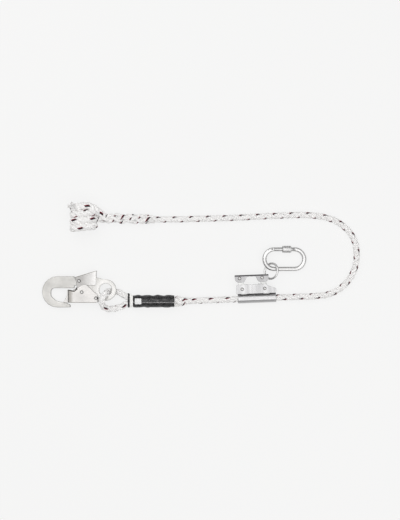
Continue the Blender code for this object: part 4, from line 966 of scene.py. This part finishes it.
def make_knot():
    """One rising turn, wraps side by side and three loose strand ends."""
    middle = tail_point(KNOT_PLACE)
    middle.z = KNOT_HEIGHT
    place = Matrix.Translation(middle) @ Matrix.Rotation(BACK_SPLICE_HEADING, 4, "Z")
    half, high = KNOT_WRAP_SIZE
    first, step = KNOT_ROWS
    wraps = []
    for k in range(2, round(KNOT_WRAPS * KNOT_STEPS)):
        turn = 2 * pi * k / KNOT_STEPS
        square = 1 + KNOT_SQUARE * sin(2 * turn) ** 2
        wraps.append(Vector((KNOT_WRAP_SHIFT + half * square * sin(turn),
                             first + step * k / KNOT_STEPS, high * cos(turn))))
    points = smooth_route([place @ Vector(p) for p in [*KNOT_ENTRY, *wraps]], STATION)
    skin = Skin()
    lay_rope(skin, Line(points), [KNOT_ROPE_RADIUS] * len(points), KNOT_LAY,
             KNOT_TRACER_ANGLE, KNOT_TRACER_PLACE, (1, 0, 0))
    thin, grown = KNOT_END_RADIUS
    for x, y, z, lean in KNOT_ENDS:
        foot = Vector((x, y, z))
        reach = Vector(KNOT_END_REACH) + lean * Vector(KNOT_END_LEAN)
        route = (foot - reach * KNOT_END_ROOT, foot, foot + reach)
        ends = smooth_route([place @ point for point in route], WEAVE_STATION)
        count = len(ends)
        radii = [thin + grown * k / count for k in range(count)]
        strand(skin, Line(ends), [lean * KNOT_END_TURN] * count, [0.0] * count, radii, 0,
               [0.0] * count, KNOT_END_RATE)
    return laid(skin, "stop_knot_strands", "stop_knot")


# Metal

LIP_ANGLES = (36, 62)  # of the channel's lip round the rope, in degrees
LIP_RADII = (0.0106, 0.0086)
CHANNEL_HALF_LENGTH = 0.0460
BAR_BEND = (0.0550, 0.0064, 0.0028)  # y and z of the fold's middles, and its radius
BAR_ROOM = (0.020, 0.012, 0.1)  # lowest y, half width there and half length of what stays
SHANK_RADIUS = 0.0025
RIVET_SIDES = 28


def prism(section, low, high, place):
    """A bar along X with a (y, z) section, anticlockwise, for shaping a copy."""
    rows = [[Vector((x, y, z)) for y, z in section] for x in (low, high)]
    return Skin().grid(rows).piece("shaper", [], place)


def arc(x, y, radius, start, end, steps=6):
    turns = [radians(start + (end - start) * k / steps) for k in range(steps + 1)]
    return [(x + radius * cos(a), y + radius * sin(a)) for a in turns]


def softened(node, body, finish, slot, voxel, passes, ratio, shaper=None, operation="UNION"):
    """A copy of a CAD node with its edges worn round."""
    made = new_object(f"{node}_finished", nodes[node].data.copy())
    if shaper is not None:
        shape = made.modifiers.new("shape", "BOOLEAN")
        shape.operation = operation
        shape.object = shaper
    remesh = made.modifiers.new("remesh", "REMESH")
    remesh.mode = "VOXEL"
    remesh.voxel_size = voxel
    smooth = made.modifiers.new("smooth", "SMOOTH")
    smooth.iterations = passes
    thin = made.modifiers.new("thin", "DECIMATE")
    thin.ratio = ratio
    graph = bpy.context.evaluated_depsgraph_get()
    mesh = bpy.data.meshes.new_from_object(made.evaluated_get(graph))
    made.modifiers.clear()
    made.data = mesh
    if shaper is not None:
        bpy.data.objects.remove(shaper)
    mesh.materials.clear()
    mesh.materials.append(finish)
    mesh.shade_smooth()
    mesh.set_sharp_from_angle(angle=radians(50))
    return settle(made, body, slot, node)


def turned(profile, sides):
    """A profile of (radius, height), from bottom to top, turned about Z."""
    widest = max(r for r, _ in profile)
    rows = [[Vector((r * cos(a), r * sin(a), z)) for a in round_turns(sides)]
            for r, z in profile]
    uvs = [[(r / widest, 0.5)] * (sides + 1) for r, _ in profile]
    return Skin().grid(rows, uvs)


HOOK_RIVET = ("zinc_forging", HOOK, 0.0042, 0.0014)  # slot, frame, head's radius and height
ADJUSTER_PIN = ("stainless", ADJUSTER, 0.0040, 0.0009)
RIVETS = [
    # node, body, kind, place, half length
    ("gate_pivot_rivet", "hook", HOOK_RIVET, (-0.0226, -0.0197), 0.0089),
    ("lever_pivot_rivet", "hook", HOOK_RIVET, (-0.0642, 0.0221), 0.00695),
    ("gate_guide_rivet", "hook_gate", HOOK_RIVET, (-0.0573, -0.0051), 0.0089),
    ("cam_pin_rear", "adjuster", ADJUSTER_PIN, (-0.0353, 0.0235), 0.0093),
    ("cam_pin_front", "adjuster", ADJUSTER_PIN, (0.0194, 0.0235), 0.0093),
    ("link_pin_rear", "rear_cam", ADJUSTER_PIN, (-0.040683, 0.049958), 0.0095),
    ("link_pin_front", "pull_bar", ADJUSTER_PIN, (0.014017, 0.049958), 0.0095),
]
HEAD_SHARES = [
    # of the head's radius and height, from the dimple out
    (0.0001, 0.25), (0.30, 0.30), (0.42, 0.75), (0.55, 1.0), (0.75, 0.97), (0.93, 0.62),
    (1.0, 0.12),
]


def make_rivets():
    """Rivets set with a ring punch: a rim with a dimple in the middle."""
    for node, body, (slot, place, radius, height), (x, y), half in RIVETS:
        upper = [(r * radius, half + h * height) for r, h in HEAD_SHARES]
        lower = [(r, -z) for r, z in reversed(upper)]
        profile = [*reversed(lower), (SHANK_RADIUS, -half), (SHANK_RADIUS, half),
                   *reversed(upper)]
        skin = turned(profile, RIVET_SIDES)
        obj = skin.piece(f"{node}_head", [RIVET], place @ Matrix.Translation((x, y, 0)), angle=40)
        settle(obj, body, slot, node)


def make_ring():
    along, rise, middle = Vector(RING_ALONG), Vector(RING_RISE), Vector(RING_MIDDLE)
    across = along.cross(rise)
    rows = []
    for a in round_turns(RING_STEPS):
        out = along * cos(a) + rise * sin(a)
        rows.append([middle + out * (RING_RADIUS + RING_WIRE * cos(b))
                     - across * (RING_WIRE * sin(b)) for b in round_turns(WIRE_SIDES)])
    skin = Skin().grid([*rows, rows[0]], caps=False)
    settle(skin.piece("harness_ring_wire", [STAINLESS]), "ring", "stainless", "harness_ring")


def make_screw_sleeve():
    """A knurled sleeve with a groove and a plain chamfered band at each end."""
    low, high = SCREW_GROOVES
    point, pit = KNURL_DEPTHS
    ends = (0.0, SCREW_LENGTH)
    heights = [0.0, SCREW_CHAMFER, 2 * SCREW_CHAMFER, low]
    heights += [low + KNURL_STEP * k for k in range(1, KNURL_ROWS)]
    heights += [high, high + 0.0002, SCREW_LENGTH - SCREW_CHAMFER, SCREW_LENGTH]
    turns = round_turns(KNURL_SIDES)
    rows = []
    for i, z in enumerate(heights):
        row = []
        for k, a in enumerate(turns):
            r = SCREW_RADIUS
            if z in ends:
                r -= SCREW_CHAMFER
            elif z in SCREW_GROOVES:
                r -= SCREW_GROOVE_DEPTH
            elif low < z < high:
                r -= pit if (i + k) % 2 else point
            row.append(Vector((z, r * cos(a), r * sin(a))))
        rows.append(row)
    for z in reversed(ends):
        rows.append([Vector((z, SCREW_BORE * cos(a), SCREW_BORE * sin(a)))
                     for a in turns])
    skin = Skin().grid([*rows, rows[0]], caps=False)
    place = CARABINER @ Matrix.Translation((SCREW_PLACE, CARABINER_BEND, 0))
    settle(skin.piece("screw_sleeve_knurl", [KNURL], place, angle=25), "screw_sleeve",
           "stainless", "screw_sleeve")


def make_carabiner_body():
    """The CAD bar with its bends made round by a finer bar in the same place."""
    start, end = BOW_ANGLES
    right = arc(CARABINER_STRAIGHT, 0, CARABINER_BEND, start, -90, BOW_STEPS)
    left = arc(-CARABINER_STRAIGHT, 0, CARABINER_BEND, -90, end, BOW_STEPS)
    line = Line([CARABINER @ Vector((x, y, 0)) for x, y in right + left])
    rows = [[point + (up * cos(a) - side * sin(a)) * CARABINER_BAR
             for a in round_turns(CARABINER_SIDES)]
            for point, up, side in zip(line.points, line.ups, line.rights)]
    softened("carabiner_body", "carabiner", BOW, "stainless", voxel=0.0004, passes=3,
             ratio=0.30, shaper=Skin().grid(rows).piece("shaper", []))


def make_nose_threads():
    """The threads that the screw sleeve closes over."""
    root, crest = THREAD_RADII
    low, high = THREAD_FOOT
    end, length = THREAD_END
    profile = [(end, 0.0)]
    for k in range(THREAD_TURNS):
        profile += [(root, low + THREAD_PITCH * k), (crest, high + THREAD_PITCH * k)]
    profile += [(end, length)]
    skin = turned(profile, THREAD_SIDES)
    place = (CARABINER @ Matrix.Translation((NOSE_PLACE, CARABINER_BEND, 0))
             @ Matrix.Rotation(pi / 2, 4, "Y"))
    settle(skin.piece("nose_threads", [STAINLESS], place, angle=25), "carabiner", "stainless")


WORN_NODES = [
    # node, body, finish, slot, voxel, smoothing passes, share of the faces that stays
    ("hook_body", "hook", ZINC, "zinc_forging", 0.0006, 6, 0.35),
    ("hook_gate", "hook_gate", GATE, "zinc_bright", 0.0004, 2, 0.30),
    ("lock_lever", "lock_lever", LEVER, "zinc_lever", 0.0004, 2, 0.30),
    ("adjuster_face_plate", "adjuster", PLATE, "adjuster_plate", 0.0004, 4, 0.35),
    ("cam_rear", "rear_cam", CAM, "cam_steel", 0.0005, 2, 0.35),
    ("cam_front", "front_cam", CAM, "cam_steel", 0.0005, 2, 0.35),
]
KEPT_NODES = [
    ("carabiner_gate", STAINLESS), ("carabiner_hinge_pin", PIN), ("latch_pin", PIN),
    ("splice_label", LABEL), ("gate_return_spring", SPRING), ("lever_spring", SPRING),
    ("cam_spring", SPRING), ("carabiner_gate_spring", SPRING),
]


def dress_nodes():
    """Worn copies of some nodes, two of them reshaped, and finishes for those kept."""
    start, end = LIP_ANGLES
    outer, inner = LIP_RADII
    lip = prism([*arc(0, 0, outer, start, end), *arc(0, 0, inner, end, start)],
                -CHANNEL_HALF_LENGTH, CHANNEL_HALF_LENGTH, ADJUSTER)
    y, z, radius = BAR_BEND
    low, wide, reach = BAR_ROOM
    bend = prism([(low, -wide), *arc(y, -z, radius, -90, 0), *arc(y, z, radius, 0, 90),
                  (low, wide)], -reach, reach, ADJUSTER)
    softened("adjuster_shell", "adjuster", CHANNEL, "adjuster_plate", voxel=0.0005, passes=2,
             ratio=0.25, shaper=lip)
    softened("pull_bar", "pull_bar", BAR, "adjuster_plate", voxel=0.0004, passes=2,
             ratio=0.25, shaper=bend, operation="INTERSECT")
    for worn in WORN_NODES:
        softened(*worn)
    for node, finish in KEPT_NODES:
        for slot in nodes[node].material_slots:
            slot.material = finish


# Floor and light

FLOOR_REACH = 6.0
FLOOR_COLOUR = (0.932, 0.932, 0.930)
FLOOR_GLOW = 0.87  # share of the floor's colour that takes no shadow
BACKGROUND = (0.913, 0.913, 0.910)
WORLD_LEVELS = [
    # height, from the horizon at 0 to straight up at 1, and level
    (0.0, 0.50), (0.22, 0.50), (0.38, 0.25), (0.47, 0.04), (0.59, 0.14), (0.70, 0.85),
    (0.84, 1.12),
]
LAMPS = [
    # name, place, size, watts
    ("key", (-0.9, 1.1, 1.9), 2.0, 19.0),
    ("fill", (1.3, -0.9, 1.7), 2.2, 13.0),
]
LAMP_TARGET = (0.06, 0.04, 0)


def make_stage():
    """A white floor that mostly glows where it is seen, and still takes shadows."""
    net = Net("floor_white", 1.0)
    net.set(Base_Color=(0.80, 0.80, 0.79), Specular_IOR_Level=0.0)
    glow = net.node("Emission", {"Color": FLOOR_COLOUR})
    path = net.node("LightPath").outputs
    seen = net.math("MAXIMUM", path["Is Camera Ray"], path["Is Glossy Ray"])
    seen = net.math("MAXIMUM", seen, path["Is Transmission Ray"])
    share = net.times(seen, FLOOR_GLOW)
    both = net.node("MixShader", {0: share, 1: net.shader.outputs[0], 2: glow.outputs[0]})
    output = net.tree.nodes["Material Output"]
    net.tree.links.new(both.outputs[0], output.inputs["Surface"])
    ends = (-FLOOR_REACH, FLOOR_REACH)
    rows = [[Vector((x, y, 0)) for x in ends] for y in ends]
    Skin().grid(rows, caps=False, closed=False).piece("floor", [net.material])


def make_light():
    """Two soft lamps, and a world that is bright overhead with a dark band below."""
    world = bpy.data.worlds.new("studio")
    world.use_nodes = True
    bpy.context.scene.world = world
    tree = world.node_tree
    back = tree.nodes["Background"]
    kinds = ("TexCoord", "SeparateXYZ", "ValToRGB", "LightPath", "Mix")
    where, split, ramp, seen, choose = (tree.nodes.new(f"ShaderNode{kind}") for kind in kinds)
    tree.links.new(where.outputs["Generated"], split.inputs[0])
    tree.links.new(split.outputs["Z"], ramp.inputs[0])
    stops = ramp.color_ramp.elements
    for stop, (place, level) in zip(stops, (WORLD_LEVELS[0], WORLD_LEVELS[-1])):
        stop.position, stop.color = place, (level, level, level, 1)
    for place, level in WORLD_LEVELS[1:-1]:
        stops.new(place).color = (level, level, level, 1)
    choose.data_type = "RGBA"
    tree.links.new(seen.outputs["Is Camera Ray"], choose.inputs[0])
    tree.links.new(ramp.outputs[0], choose.inputs[6])
    choose.inputs[7].default_value = (*BACKGROUND, 1)
    tree.links.new(choose.outputs[2], back.inputs["Color"])
    for name, place, size, power in LAMPS:
        lamp = bpy.data.lights.new(name, "AREA")
        lamp.size = size
        lamp.energy = power
        obj = new_object(name, lamp)
        obj.location = place
        aim = Vector(LAMP_TARGET) - Vector(place)
        obj.rotation_euler = aim.to_track_quat("-Z", "Y").to_euler()


set_camera()
rope, rope_path, rope_end = make_rope()
tail = make_back_splice(rope_end)
knot = make_knot()
make_eye()
make_shells(*make_eye_splice())
dress_nodes()
make_carabiner_body()
make_nose_threads()
make_rivets()
make_ring()
make_screw_sleeve()
make_stage()
make_light()
bpy.context.scene.view_settings.view_transform = "Standard"
